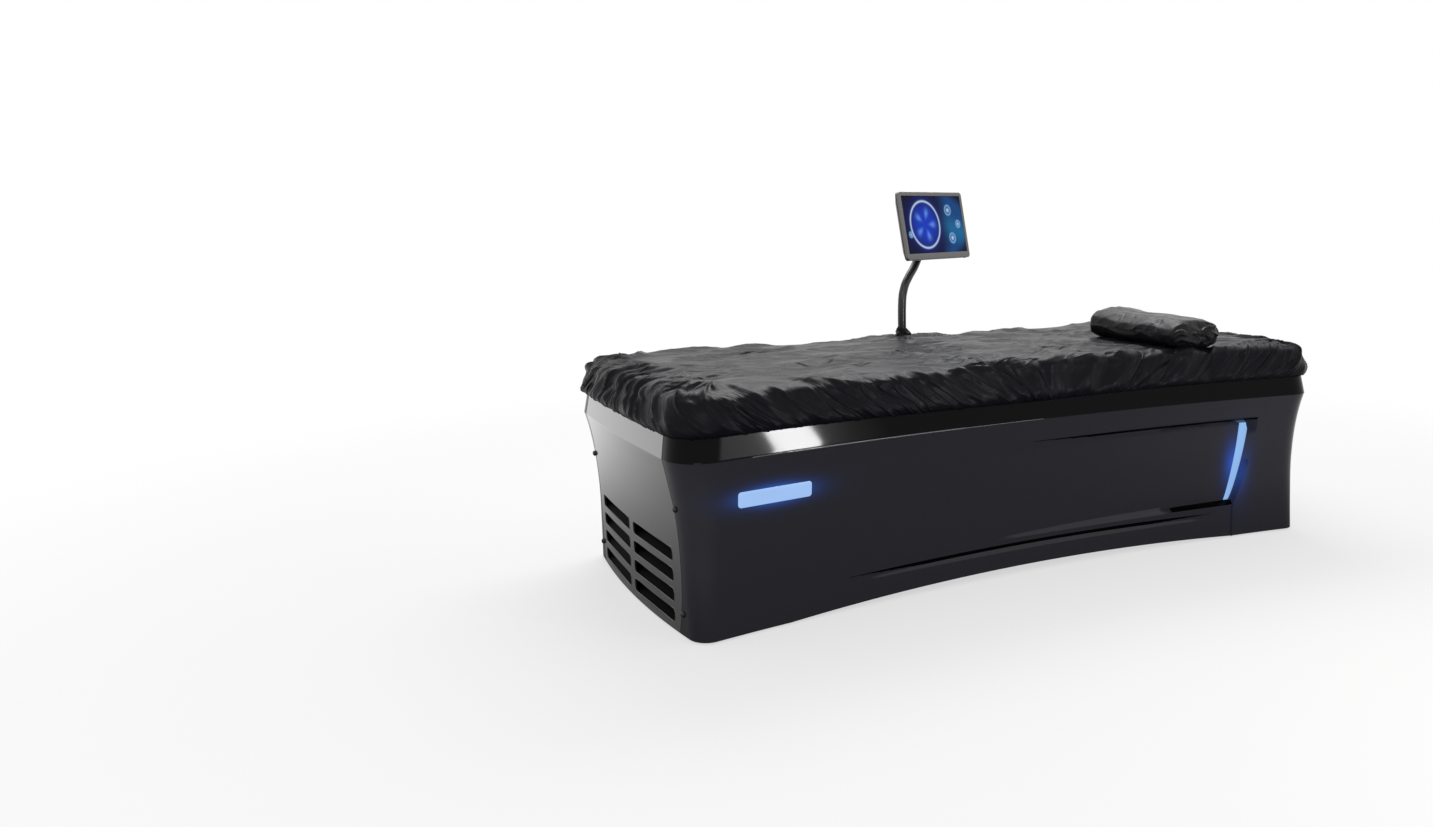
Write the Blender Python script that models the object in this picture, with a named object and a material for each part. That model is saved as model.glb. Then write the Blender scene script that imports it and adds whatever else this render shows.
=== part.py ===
"""A hydromassage bed: a gloss shell round a steel frame, a water tank with travelling jets under a
membrane, a fitted cover with a neck pillow, and a touch screen on a swivelling post.

Metres. X runs along the bed with the head at +X, Y across it with the lit plate at -Y, Z up.
"""

import math

import bmesh
import bpy
import numpy as np
from mathutils import Matrix, Vector

# Overall sizes
LENGTH = 2.274
WIDTH = 1.014
CREASE = 0.481
BAND_HEIGHT = 0.135
FLOOR_GAP = 0.006
WALL = 0.005
SEAM = 0.0014
RIM_TOP = CREASE + BAND_HEIGHT

# Clearance between touching pieces, and how far cuts overrun
GAP = 0.0003
OVERRUN = 0.020

# Form of the shell: waisted sides, drawn-in section, bowed ends
WAIST = 0.087
TUCK = 0.0266
TUCK_SHARES = ((0.0, 0.91), (0.25, 1.0), (0.54, 0.99), (0.83, 0.56), (0.93, 0.27), (1.0, 0.0))
BAND_TAPER = 0.0225
CORNER_AT_FLOOR = 0.058
CORNER_AT_CREASE = 0.107
LEAST_CORNER = 0.020
BOW_AT_FLOOR = 0.0317
BOW_AT_CREASE = 0.0158
ARCH_RISE = 0.020
ARCH_HALF_SPAN = 0.81
DECK_WIDTH = 0.060
SEAM_INSET_SHARES = ((0.0, 0.56), (0.16, 0.26), (0.36, 0.10), (0.53, 0.06), (0.68, 0.17), (1.0, 0.17))

# Recess of each long side, which deepens towards the light bar near the head
RECESS_LOW = 0.115
RECESS_BELOW_CREASE = 0.069
RECESS_LOW_SLOPE = 0.012
RECESS_HIGH_SLOPE = 0.020
RECESS_DEPTH = 0.025
RECESS_LENGTH = 1.13
RECESS_ROW_SHARES = (0.2, 0.41, 0.62, 0.82)
RECESS_HIGH = CREASE - RECESS_BELOW_CREASE
BAR_FROM_HEAD = 0.3375
BAR_LEAN = 0.055
BAR_WIDTH_LOW = 0.013
BAR_WIDTH_HIGH = 0.034
BAR_ROUNDING = 0.009
STEP_FROM_HEAD = 0.331
STEP_LEAN = 0.083
STEP_CURVE = 0.8
LENS_THICKNESS = 0.0045
LENS_GAP = 0.0009

# Groove above the arched lower edge
GROOVE_HEIGHT = 0.079
GROOVE_RISE_SHARE = 0.5
GROOVE_BELOW = 0.009
GROOVE_ABOVE = 0.012
GROOVE_DEPTH = 0.005
GROOVE_FROM_FOOT = 0.481
GROOVE_FROM_HEAD = 0.397

# Lit nameplate on the near side
PLATE_FROM_FOOT = 0.284
PLATE_LENGTH = 0.216
PLATE_HEIGHT = 0.042
PLATE_Z = 0.370
PLATE_CORNER = 0.008
PLATE_THICKNESS = 0.004
PLATE_OFF_WALL = 0.0012
PLATE_EDGE = 0.0015

# Louvres of the foot end panel
LOUVRE_TOP = 0.232
LOUVRE_HEIGHT = 0.037
LOUVRE_PITCH = 0.056
LOUVRE_COUNT = 4
LOUVRE_INNER = 0.0175
LOUVRE_FROM_SIDE = 0.170
LOUVRE_OUTER = WIDTH / 2 - LOUVRE_FROM_SIDE
LOUVRE_CORNER = 0.012
BLADE_DEPTH = 0.027
BLADE_RISE = 0.021
BLADE_THICKNESS = 0.003
LIP_SHARE = 0.3
RIB_THICKNESS = 0.006
RIB_MARGIN = 0.010

# Power inlet in the head end panel
INLET_Z = 0.120
INLET_HALF_Y = 0.024
INLET_HALF_Z = 0.014
INLET_FLANGE = 0.006
INLET_FLANGE_THICKNESS = 0.003
INLET_DEPTH = 0.030
SOCKET_HALF_Y = 0.012
SOCKET_HALF_Z = 0.008
SOCKET_DEPTH = 0.018

# Screws beside the seams
SCREW_RADIUS = 0.0075
SCREW_HEIGHT = 0.005
SCREW_FROM_SEAM = 0.012
SCREW_OFF_WALL = 0.0015
SCREW_UPPER_Z = 0.350
SCREW_LOWER_Z = 0.065
DOME_SHARE = 0.6

# Frame of square tube, and the tray on it
FRAME_TUBE = 0.040
FRAME_LOW = 0.050
FRAME_FROM_SIDE = 0.0675
FRAME_POST_SHARE = 0.34
FRAME_HALF_Y = WIDTH / 2 - BAND_TAPER - WAIST - FRAME_FROM_SIDE
FRAME_TOP = RIM_TOP - WALL - GAP
END_FRAME_THICKNESS = 0.030
END_FRAME_FROM_SIDE = 0.107
END_FRAME_FROM_END = 0.088
END_FRAME_MID = 0.300
TRAY_HALF_LENGTH = 0.750
TRAY_LIFT = 0.006
TRAY_SHEET = 0.003
TRAY_LIP = 0.030
TRAY_TOP = FRAME_LOW + TRAY_LIFT + TRAY_SHEET

# Levelling feet
STEM_RADIUS = 0.007
STEM_DEPTH = 0.030
PAD_RADIUS = 0.026
PAD_HEIGHT = 0.009
NUT_RADIUS = 0.013
NUT_HEIGHT = 0.009
FOOT_FROM_END = 0.190

# Tank, membrane and the padding on the deck
TANK_FROM_END = 0.192
TANK_FROM_FRAME = 0.015
TANK_CORNER = 0.040
LEDGE_DEPTH = 0.146
LEDGE_WIDTH = 0.040
SUMP_DEPTH = 0.281
TANK_HALF_X = LENGTH / 2 - TANK_FROM_END
TANK_HALF_Y = FRAME_HALF_Y - FRAME_TUBE / 2 - TANK_FROM_FRAME - WALL
TANK_LEDGE = RIM_TOP - LEDGE_DEPTH
TANK_FLOOR = RIM_TOP - SUMP_DEPTH
TANK_FLANGE_GAP = 0.0025
MEMBRANE_THICKNESS = 0.0025
MEMBRANE_CROWN = 0.024
MEMBRANE_RING_SHARES = (0.25, 0.5, 0.78)
CLAMP_HEIGHT = 0.005
CLAMP_INSET = 0.012
CLAMP_LAP = 0.004
BOLSTER_HEIGHT = 0.0337
BOLSTER_OUTER = 0.006
BOLSTER_INNER = 0.056
BOLSTER_SHOULDER_SHARE = 0.3
BOLSTER_TOP = RIM_TOP + GAP + BOLSTER_HEIGHT

# Cover: its wall's outer and inner rows as shares of the overhang, of the height from hem to top
# and, outside, of the pleats' depth
COVER_THICKNESS = 0.0097
COVER_DROP = 0.073
COVER_OVERHANG = 0.019
COVER_PLEAT = 0.005
COVER_WAVE = 0.0025
COVER_SHOULDER = 0.004
COVER_TOP = BOLSTER_TOP + GAP + COVER_THICKNESS
COVER_HEM = RIM_TOP - COVER_DROP
COVER_OUTER_SHARES = (
    (0.47, 0.0, 0.5), (1.0, 0.2, 1.0), (0.79, 0.45, 0.9), (0.42, 0.69, 0.5), (-0.05, 0.88, 0.2),
)
COVER_INNER_SHARES = ((0.16, 0.0), (0.58, 0.2), (0.42, 0.45), (0.10, 0.675))
COVER_TOP_SHARES = (0.036, 0.168, 0.335, 0.533, 0.73, 0.868)
COVER_CALM_SHARE = 0.48
PLEATS_ROUND = 23
PLEAT_SLANT = 1.4

# Neck pillow, lying loose on the cover
PILLOW_LENGTH = 0.49
PILLOW_WIDTH = 0.192
PILLOW_HEIGHT = 0.093
PILLOW_END_LIFT = 0.012
PILLOW_FROM_HEAD = 0.477
PILLOW_FROM_SIDE = 0.335
PILLOW_Y = PILLOW_FROM_SIDE - WIDTH / 2
PILLOW_TURN = math.radians(-1)
PILLOW_STATION_SHARES = (-0.985, -0.93, -0.82, -0.6, -0.3, 0.0, 0.3, 0.6, 0.82, 0.93, 0.985)
PILLOW_DRAWN_WIDTH_SHARE = 0.10
PILLOW_DRAWN_HEIGHT_SHARE = 0.12

# Jet carriage on its rails
RAIL_WIDTH = 0.020
RAIL_HEIGHT = 0.015
RAIL_END_GAP = 0.020
CARRIAGE_LENGTH = 0.240
CARRIAGE_PLATE = 0.012
CARRIAGE_SHOE = 0.012
CARRIAGE_LAP = 0.004
MANIFOLD_HALF_Y = 0.160
MANIFOLD_DEPTH = 0.030
JAW_WALL = 0.006
JAW_CLEAR = 0.002

# Jet rotors
ROTOR_SPREAD_SHARE = 0.44
ROTOR_APART = 0.032
ROTOR_Y = TANK_HALF_Y * ROTOR_SPREAD_SHARE
ROTOR_REACH = ROTOR_Y - ROTOR_APART / 2
ROTOR_SHAFT = 0.012
ROTOR_SHAFT_DEPTH = 0.028
ROTOR_ARMS = 3
ROTOR_HUB_RADIUS = 0.030
ROTOR_HUB_HEIGHT = 0.022
ROTOR_HUB_SHARES = ((1.0, 0.0), (1.0, 0.7), (0.6, 1.0))
ROTOR_ARM_WIDTH = 0.020
ROTOR_ARM_HEIGHT = 0.012
ROTOR_ARM_LEVEL_SHARE = 0.35
NOZZLE_RADIUS = 0.010
NOZZLE_MOUTH = 0.0045
NOZZLE_LIP = 0.0027
NOZZLE_HEIGHT = 0.026
NOZZLE_STRAIGHT_SHARE = 0.6
NOZZLE_BORE_SHARE = 0.7

# Belt, pulleys and the motor under the tank
PULLEY_RADIUS = 0.025
PULLEY_FLANGE = 0.0035
PULLEY_FROM_END = 0.095
FLANGE_HEIGHT = 0.003
BELT_BELOW_LEDGE = 0.040
BELT_HEIGHT = 0.018
BELT_THICKNESS = 0.002
BELT_SEAT = 0.0006
BELT_LOW = TANK_LEDGE - BELT_BELOW_LEDGE
SHAFT_RADIUS = 0.008
SPINDLE_BOSS_RADIUS = 0.016
IDLER_SEAT = BELT_LOW - 2 * GAP - FLANGE_HEIGHT
MOTOR_RADIUS = 0.042
MOTOR_LENGTH = 0.085
MOTOR_EDGE = 0.005
GEARBOX_RADIUS = 0.034
GEARBOX_LENGTH = 0.030
MOTOR_BORE = 0.025

# Pump, its motor and its hoses
PUMP_X = -0.330
PUMP_LIFT = 0.089
PUMP_Z = TRAY_TOP + PUMP_LIFT
PUMP_RADIUS = 0.066
PUMP_THICKNESS = 0.055
PUMP_GROWTH = 0.020
OUTLET_RADIUS = 0.019
OUTLET_INSET = 0.023
INLET_FLARE = 0.006
HOSE_RADIUS = 0.019
HOSE_STRAIGHT = 0.008
SUCTION_REACH = 0.060
PUMP_MOTOR_RADIUS = 0.058
PUMP_MOTOR_LENGTH = 0.190
PUMP_FIN_DEPTH = 0.004
PUMP_FINS = 12
SADDLE_HALF_WIDTH = 0.046
SADDLE_SINK = 0.017
SADDLE_INSET = 0.032

# Fans and radiator behind the louvres
FAN_SPREAD_SHARE = 0.485
FAN_RADIUS_SHARE = 0.297
FAN_TO_SHROUD_EDGE = 0.008
FAN_HUB = 0.030
FAN_HUB_SHARES = ((1.0, 0.0), (1.0, 0.8), (0.8, 1.0))
FAN_TIP_GAP = 0.003
FAN_BLADES = 5
FAN_BLADE_THICKNESS = 0.0025
FAN_BLADE_CHORD = 0.032
FAN_BLADE_PITCH = math.radians(32)
FAN_BLADE_SHARES = ((0.0, 0.9, 1.25), (0.5, 1.03, 1.0), (1.0, 1.12, 0.7))
SHROUD_DEPTH = 0.030
SHROUD_HALF_Y = FRAME_HALF_Y - FRAME_TUBE / 2 - GAP
FAN_Y = SHROUD_HALF_Y * FAN_SPREAD_SHARE
FAN_RADIUS = SHROUD_HALF_Y * FAN_RADIUS_SHARE
SHROUD_HALF_Z = FAN_RADIUS + FAN_TO_SHROUD_EDGE
SHROUD_CORNER = 0.010
SHROUD_ABOVE_RAIL = 0.003
FAN_Z = FRAME_LOW + FRAME_TUBE + SHROUD_ABOVE_RAIL + SHROUD_HALF_Z
SPIDER_THICKNESS = 0.004
SPIDER_ARM = 0.010
SPINDLE_RADIUS = 0.005
RADIATOR_DEPTH = 0.032
RADIATOR_MARGIN_Y = 0.0247
RADIATOR_MARGIN_Z = 0.006
RADIATOR_FINS = 16
RADIATOR_SPINE_SHARE = 0.4

# Controls
CONTROL_X = 0.420
CONTROL_LENGTH = 0.300
CONTROL_WIDTH = 0.240
CONTROL_HEIGHT = 0.100
LID_HEIGHT = 0.012
LID_LAP = 0.004

# Post and its socket
POST_X = -0.020
POST_RADIUS = 0.0145
POST_STRAIGHT = 0.120
POST_STRAIGHT_TOP = COVER_TOP + POST_STRAIGHT
POST_TIP = 0.012
POST_LEAN_SHARES = ((0.25, 0.30), (0.68, 0.58), (0.97, 0.80), (1.0, 1.0))
SOCKET_WALL = 0.0032
SOCKET_LENGTH = 0.196
SOCKET_BOTTOM = RIM_TOP - SOCKET_LENGTH
SOCKET_FLOOR = 0.006
SOCKET_CLEAR = 0.0006
COVER_CLEAR = 0.0015
CUFF_HEIGHT = 0.030
CUFF_RADIUS = 0.025
CUFF_SHARES = ((1.0, 0.0), (0.8, 0.35), (0.4, 0.8), (0.06, 1.0))

# Swivel and tilt of the monitor
HEAD_BELOW_HINGE = 0.0485
KNUCKLE_RADIUS = 0.0165
KNUCKLE_HEIGHT = 0.022
KNUCKLE_SHARES = ((1.0, 0.0), (1.0, 0.8), (0.75, 1.0))
LUG_THICKNESS = 0.016
LUG_RADIUS = 0.013
PIN_RADIUS = 0.004
PIN_HEAD_RADIUS = 0.0064
PIN_HEAD = 0.003
EAR_THICKNESS = 0.005
VESA_HALF = 0.045
VESA_CORNER = 0.0056
VESA_THICKNESS = 0.003

# Monitor
MONITOR_WIDTH = 0.365
MONITOR_HEIGHT = 0.236
MONITOR_ASIDE = 0.132
MONITOR_BEFORE = 0.0083
MONITOR_ABOVE_COVER = 0.384
MONITOR_YAW = math.radians(22.5)
MONITOR_TILT = math.radians(11)
MONITOR_DEPTH = 0.034
MONITOR_CORNER = 0.012
BEZEL_DEPTH = 0.010
BEZEL_SIDE = 0.013
BEZEL_TOP = 0.014
BEZEL_BOTTOM = 0.022
SCREEN_CORNER = 0.002
GLASS_THICKNESS = 0.0075
BACK_RIM = 0.004
BACK_SLOPE = 0.020
HINGE_BEHIND = 0.070
BUTTON_RADIUS = 0.004
BUTTON_HEIGHT = 0.004
BUTTON_TRAVEL = 0.0015
BUTTON_PROUD = 0.0018
BUTTON_FROM_EDGE = 0.030

# Finishes: sRGB hex, roughness, metallic
FINISHES = {
    "gloss_shell": ("1C1C20", 0.10, 0.0),
    "end_panel": ("2A292B", 0.14, 0.0),
    "black_rubber": ("0E0E10", 0.60, 0.0),
    "lit_lens": ("8AB4E8", 0.35, 0.0),
    "powder_coat": ("3A3C3F", 0.45, 0.3),
    "zinc_steel": ("A9ACB0", 0.35, 1.0),
    "stainless": ("B9BBBE", 0.25, 1.0),
    "tank_plastic": ("D8DADC", 0.50, 0.0),
    "membrane_rubber": ("2B2D31", 0.55, 0.0),
    "foam": ("3B3B3F", 0.80, 0.0),
    "cover_fabric": ("2E2D31", 0.42, 0.0),
    "carriage_plastic": ("4C5055", 0.45, 0.0),
    "pump_paint": ("27415E", 0.40, 0.1),
    "motor_alloy": ("8D9094", 0.40, 0.9),
    "fan_plastic": ("1A1A1C", 0.45, 0.0),
    "post_coat": ("1B1B1D", 0.28, 0.2),
    "bezel_silver": ("6F6C6A", 0.35, 0.4),
    "monitor_plastic": ("141416", 0.35, 0.0),
    "screen_glass": ("0A1A5A", 0.08, 0.0),
}


def clear_scene():
    for found in list(bpy.data.objects):
        bpy.data.objects.remove(found, do_unlink=True)


def finish(name):
    """The Principled material of a finish, made once."""
    if name in bpy.data.materials:
        return bpy.data.materials[name]
    code, roughness, metallic = FINISHES[name]
    made = bpy.data.materials.new(name)
    made.use_nodes = True
    shader = made.node_tree.nodes["Principled BSDF"]
    srgb = [int(code[i : i + 2], 16) / 255 for i in (0, 2, 4)]
    linear = [c / 12.92 if c <= 0.04045 else ((c + 0.055) / 1.055) ** 2.4 for c in srgb]
    shader.inputs["Base Color"].default_value = (*linear, 1)
    shader.inputs["Roughness"].default_value = roughness
    shader.inputs["Metallic"].default_value = metallic
    return made


def mix(first, last, share):
    return first + (last - first) * share


def eased(table, at):
    """A smooth reading of a table of (place, value) pairs, level at neither end."""
    places, values = (np.array(column, float) for column in zip(*table))
    slopes = np.gradient(values, places)
    at = min(max(at, places[0]), places[-1])
    i = min(int(np.searchsorted(places, at, side="right")) - 1, len(places) - 2)
    step = places[i + 1] - places[i]
    t = (at - places[i]) / step
    keep, lift = (1 + 2 * t) * (1 - t) ** 2, t * (1 - t) ** 2
    return (
        keep * values[i]
        + lift * step * slopes[i]
        + (1 - keep) * values[i + 1]
        - t**2 * (1 - t) * step * slopes[i + 1]
    )


def add_object(name, mesh, material, place=None, smooth=35):
    """Links a mesh as one named object with one material."""
    mesh.materials.clear()
    mesh.materials.append(finish(material))
    mesh.shade_smooth()
    mesh.set_sharp_from_angle(angle=math.radians(smooth))
    made = bpy.data.objects.new(name, mesh)
    bpy.context.scene.collection.objects.link(made)
    if place is not None:
        made.matrix_world = place
    return made


def mesh_of(name, points, faces):
    mesh = bpy.data.meshes.new(name)
    mesh.from_pydata([tuple(map(float, p)) for p in points], [], [tuple(f) for f in faces])
    mesh.validate()
    return mesh


def face_outwards(mesh):
    work = bmesh.new()
    work.from_mesh(mesh)
    bmesh.ops.recalc_face_normals(work, faces=work.faces)
    work.to_mesh(mesh)
    work.free()


def loft(name, rings, material, wrap=False, place=None, smooth=35):
    """A closed solid bridged through rings of points; a ring of one point is a pole.

    With wrap the last ring joins the first, as in a hoop; otherwise flat caps close the ends.
    """
    points, starts = [], []
    for ring in rings:
        starts.append(len(points))
        points += [tuple(p) for p in ring]
    faces = []
    pairs = list(zip(range(len(rings)), range(1, len(rings))))
    if wrap:
        pairs.append((len(rings) - 1, 0))
    for a, b in pairs:
        count = max(len(rings[a]), len(rings[b]))
        for i in range(count):
            j = (i + 1) % count
            corners = [
                starts[a] + i % len(rings[a]),
                starts[a] + j % len(rings[a]),
                starts[b] + j % len(rings[b]),
                starts[b] + i % len(rings[b]),
            ]
            faces.append(list(dict.fromkeys(corners)))
    if not wrap:
        for k in (0, len(rings) - 1):
            if len(rings[k]) > 1:
                faces.append([starts[k] + i for i in range(len(rings[k]))])
    mesh = mesh_of(name, points, faces)
    face_outwards(mesh)
    return add_object(name, mesh, material, place, smooth)


def turned(name, profile, material, place=None, segments=16, wrap=False):
    """A solid of revolution about local Z from (radius, height) pairs."""
    turns = np.arange(segments) * 2 * math.pi / segments
    rings = []
    for radius, height in profile:
        if radius == 0:
            rings.append([(0.0, 0.0, height)])
        else:
            rings.append([(radius * math.cos(t), radius * math.sin(t), height) for t in turns])
    return loft(name, rings, material, wrap=wrap, place=place)


def sheet(name, grid, thickness, material, flip=False, holes=()):
    """A wall: a grid of points as quads, thickened away from its outer side by Solidify.

    holes lists ranges of cells left out, as (first column, last column, first row, last row).
    """
    columns, rows = grid.shape[:2]
    faces = []
    for c in range(columns - 1):
        for r in range(rows - 1):
            if any(c0 <= c < c1 and r0 <= r < r1 for c0, c1, r0, r1 in holes):
                continue
            face = [c * rows + r, (c + 1) * rows + r, (c + 1) * rows + r + 1, c * rows + r + 1]
            faces.append(face[::-1] if flip else face)
    used = sorted({i for face in faces for i in face})
    at = {old: new for new, old in enumerate(used)}
    points = grid.reshape(-1, 3)[used]
    mesh = mesh_of(name, points, [[at[i] for i in face] for face in faces])
    made = add_object(name, mesh, material)
    wall = made.modifiers.new("wall", "SOLIDIFY")
    wall.thickness = thickness
    wall.offset = -1
    wall.use_even_offset = True
    wall.use_quality_normals = True
    return made


def plate(name, outlines, thickness, material, place=None, smooth=35):
    """A flat plate, centred on its own XY plane, cut from outlines: the first less the others."""
    if len(outlines) == 1:
        levels = (-thickness / 2, thickness / 2)
        rings = [[(x, y, level) for x, y in outlines[0]] for level in levels]
        return loft(name, rings, material, place=place, smooth=smooth)
    curve = bpy.data.curves.new(name, "CURVE")
    curve.dimensions = "2D"
    curve.fill_mode = "BOTH"
    curve.extrude = thickness / 2
    for outline in outlines:
        spline = curve.splines.new("POLY")
        spline.points.add(len(outline) - 1)
        spline.points.foreach_set("co", [v for x, y in outline for v in (x, y, 0, 1)])
        spline.use_cyclic_u = True
    holder = bpy.data.objects.new(name + "_outline", curve)
    mesh = bpy.data.meshes.new_from_object(holder)
    bpy.data.objects.remove(holder)
    work = bmesh.new()
    work.from_mesh(mesh)
    bmesh.ops.remove_doubles(work, verts=work.verts, dist=GAP / 100)
    bmesh.ops.recalc_face_normals(work, faces=work.faces)
    work.to_mesh(mesh)
    work.free()
    return add_object(name, mesh, material, place, smooth)


def joined(name, pieces, material):
    """One mesh made of several unturned or placed pieces, which are used up."""
    work = bmesh.new()
    for piece in pieces:
        piece.data.transform(piece.matrix_world)
        work.from_mesh(piece.data)
        bpy.data.objects.remove(piece)
    mesh = bpy.data.meshes.new(name)
    work.to_mesh(mesh)
    work.free()
    return add_object(name, mesh, material)


def block(name, low, high, material, bevel=0.0):
    """A box between two corners, its edges rounded by a bevel."""
    low, high = Vector(low), Vector(high)
    mesh = bpy.data.meshes.new(name)
    work = bmesh.new()
    bmesh.ops.create_cube(work, size=1)
    bmesh.ops.scale(work, vec=high - low, verts=work.verts)
    bmesh.ops.translate(work, vec=(low + high) / 2, verts=work.verts)
    if bevel:
        bmesh.ops.bevel(work, geom=work.edges, offset=bevel, segments=1, affect="EDGES")
    work.to_mesh(mesh)
    work.free()
    return add_object(name, mesh, material)


def tube(name, points, radius, material, sides=3):
    """A round tube along a smooth curve through a few points, with flat ends."""
    curve = bpy.data.curves.new(name, "CURVE")
    curve.dimensions = "3D"
    curve.bevel_depth = radius
    curve.bevel_resolution = sides
    curve.use_fill_caps = True
    spline = curve.splines.new("POLY")
    spline.points.add(len(points) - 1)
    spline.points.foreach_set("co", [v for p in points for v in (*p, 1)])
    curve.materials.append(finish(material))
    made = bpy.data.objects.new(name, curve)
    bpy.context.scene.collection.objects.link(made)
    return made


def through(route, count):
    """Evenly counted points on a Catmull-Rom curve through a route."""
    route = [Vector(p) for p in route]
    ends = [2 * route[0] - route[1], *route, 2 * route[-1] - route[-2]]
    found = []
    for k in np.linspace(0, len(route) - 1, count):
        i = min(int(k), len(route) - 2)
        t = k - i
        a, b, c, d = ends[i : i + 4]
        found.append(
            0.5 * (2 * b + (c - a) * t + (2 * a - 5 * b + 4 * c - d) * t**2)
            + 0.5 * (3 * b - a - 3 * c + d) * t**3
        )
    return found


def as_helper(made):
    made.hide_render = True
    made.display_type = "WIRE"
    return made


def cut(made, cutter, operation="DIFFERENCE"):
    """Adds a Boolean with a hidden helper to a piece."""
    change = made.modifiers.new(operation.lower(), "BOOLEAN")
    change.operation = operation
    change.object = as_helper(cutter)
    return made


def rounded(half_x, half_y, radius, steps=3, centre=(0.0, 0.0)):
    """The outline of a rectangle with round corners, anticlockwise."""
    outline = []
    for quarter, (sx, sy) in enumerate(((1, 1), (-1, 1), (-1, -1), (1, -1))):
        for angle in np.linspace(0, 90, steps + 1):
            turn = math.radians(angle + 90 * quarter)
            x = centre[0] + sx * (half_x - radius) + radius * math.cos(turn)
            y = centre[1] + sy * (half_y - radius) + radius * math.sin(turn)
            outline.append((x, y))
    return outline


def circle(radius, segments=16, centre=(0.0, 0.0)):
    turns = np.arange(segments) * 2 * math.pi / segments
    return [(centre[0] + radius * math.cos(t), centre[1] + radius * math.sin(t)) for t in turns]


def at(x, y, z):
    return Matrix.Translation((x, y, z))


def facing_x(x, y, z):
    """Turns local X, Y, Z to world Y, Z, X, for a plate that stands across the bed."""
    turn = Matrix(((0, 0, 1, 0), (1, 0, 0, 0), (0, 1, 0, 0), (0, 0, 0, 1)))
    return at(x, y, z) @ turn


def facing_y(x, y, z):
    """Turns local X, Y, Z to world X, Z, -Y, for a plate that stands along the bed."""
    return at(x, y, z) @ Matrix.Rotation(math.radians(90), 4, "X")


def body_section(z):
    """Half length, half width, corner radius and end bow of the body's plan at a height."""
    if z < CREASE:
        tuck = TUCK * eased(TUCK_SHARES, z / CREASE)
    else:
        tuck = BAND_TAPER * (z - CREASE) / (RIM_TOP - CREASE)
    share = min(z / CREASE, 1.0)
    corner = mix(CORNER_AT_FLOOR, CORNER_AT_CREASE, share)
    bow = mix(BOW_AT_FLOOR, BOW_AT_CREASE, share)
    return LENGTH / 2 - tuck, WIDTH / 2 - tuck, corner, bow


def seam_y(z):
    """How far from the middle the seam between side and end lies at a height."""
    half_width, corner = body_section(z)[1:3]
    return half_width - corner - CORNER_AT_CREASE * eased(SEAM_INSET_SHARES, z / RIM_TOP)


def shaped(x, y, section, inset=0.0, waist_share=1.0):
    """A point of the plain rounded rectangle moved by the bowed ends and the drawn-in sides."""
    half_x, half_y = section[0] - inset, section[1] - inset
    bow = section[3] * (abs(x) / half_x) ** 6 * (y / half_y) ** 2
    waist = waist_share * WAIST * (1 - (x / half_x) ** 2) * (y / half_y) ** 2
    return x - math.copysign(bow, x), y - math.copysign(waist, y)


def plain_point(station, half_x, half_y, corner):
    """A station's place on a rounded rectangle: on an end, round a corner or along a side."""
    kind, sx, sy, value = station
    if kind == "end":
        return sx * half_x, value * (half_y - corner)
    if kind == "side":
        return value * (half_x - corner), sy * half_y
    x = half_x - corner + corner * math.cos(value)
    return sx * x, sy * (half_y - corner + corner * math.sin(value))


def loop_stations(corner_steps, side_steps, end_steps):
    """Stations all the way round, anticlockwise from the foot end's near corner."""
    quarter = np.linspace(0, math.pi / 2, corner_steps + 1)
    side = np.linspace(-1, 1, side_steps + 1)[1:-1]
    end = np.linspace(-1, 1, end_steps + 1)[1:-1]
    found = [("corner", -1, -1, v) for v in quarter]
    found += [("side", 0, -1, v) for v in side]
    found += [("corner", 1, -1, v) for v in quarter[::-1]]
    found += [("end", 1, 0, v) for v in end]
    found += [("corner", 1, 1, v) for v in quarter]
    found += [("side", 0, 1, v) for v in side[::-1]]
    found += [("corner", -1, 1, v) for v in quarter[::-1]]
    found += [("end", -1, 0, v) for v in end[::-1]]
    return found


def body_loop(stations, outline_z, inset, z, waist_share=1.0):
    """The body's outline at outline_z, drawn in by inset and laid at height z."""
    section = body_section(outline_z)
    sizes = (section[0] - inset, section[1] - inset, max(section[2] - inset, LEAST_CORNER))
    points = []
    for station in stations:
        x, y = shaped(*plain_point(station, *sizes), section, inset, waist_share)
        points.append((x, y, z))
    return points


def straight_loop(stations, half_x, half_y, corner, z):
    return [(*plain_point(s, half_x, half_y, corner), z) for s in stations]


LOOP = loop_stations(3, 8, 4)


# The shell

def bar_span(z):
    """X of the light bar's two edges at a height."""
    low, high = RECESS_LOW + RECESS_LOW_SLOPE, RECESS_HIGH - RECESS_HIGH_SLOPE
    t = min(max((z - low) / (high - low), 0.0), 1.0)
    middle = LENGTH / 2 - BAR_FROM_HEAD + BAR_LEAN * math.sin(t * math.pi / 2)
    half = mix(BAR_WIDTH_LOW, BAR_WIDTH_HIGH, t) / 2
    rounding = BAR_ROUNDING if t == 1.0 else 0.0
    return middle - half, middle + half - rounding


def step_x(z):
    """X of the edge where the wall behind the light bar comes back out to the side."""
    t = min(max((z - RECESS_LOW) / (RECESS_HIGH - RECESS_LOW), 0.0), 1.0)
    return LENGTH / 2 - STEP_FROM_HEAD + STEP_LEAN * math.sin(t * math.pi / 2) ** STEP_CURVE


def wall_heights():
    """Heights of the shell's rows; the recess's own rows are numbers 5 to 10."""
    low, high = RECESS_LOW + RECESS_LOW_SLOPE, RECESS_HIGH - RECESS_HIGH_SLOPE
    groove = (GROOVE_HEIGHT - GROOVE_BELOW, GROOVE_HEIGHT, GROOVE_HEIGHT + GROOVE_ABOVE)
    inner = [mix(low, high, share) for share in RECESS_ROW_SHARES]
    middle = (RECESS_HIGH + CREASE) / 2
    band = (CREASE + RIM_TOP) / 2
    return [FLOOR_GAP, *groove, RECESS_LOW, low, *inner, high, RECESS_HIGH, middle, CREASE, band, RIM_TOP]


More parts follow.
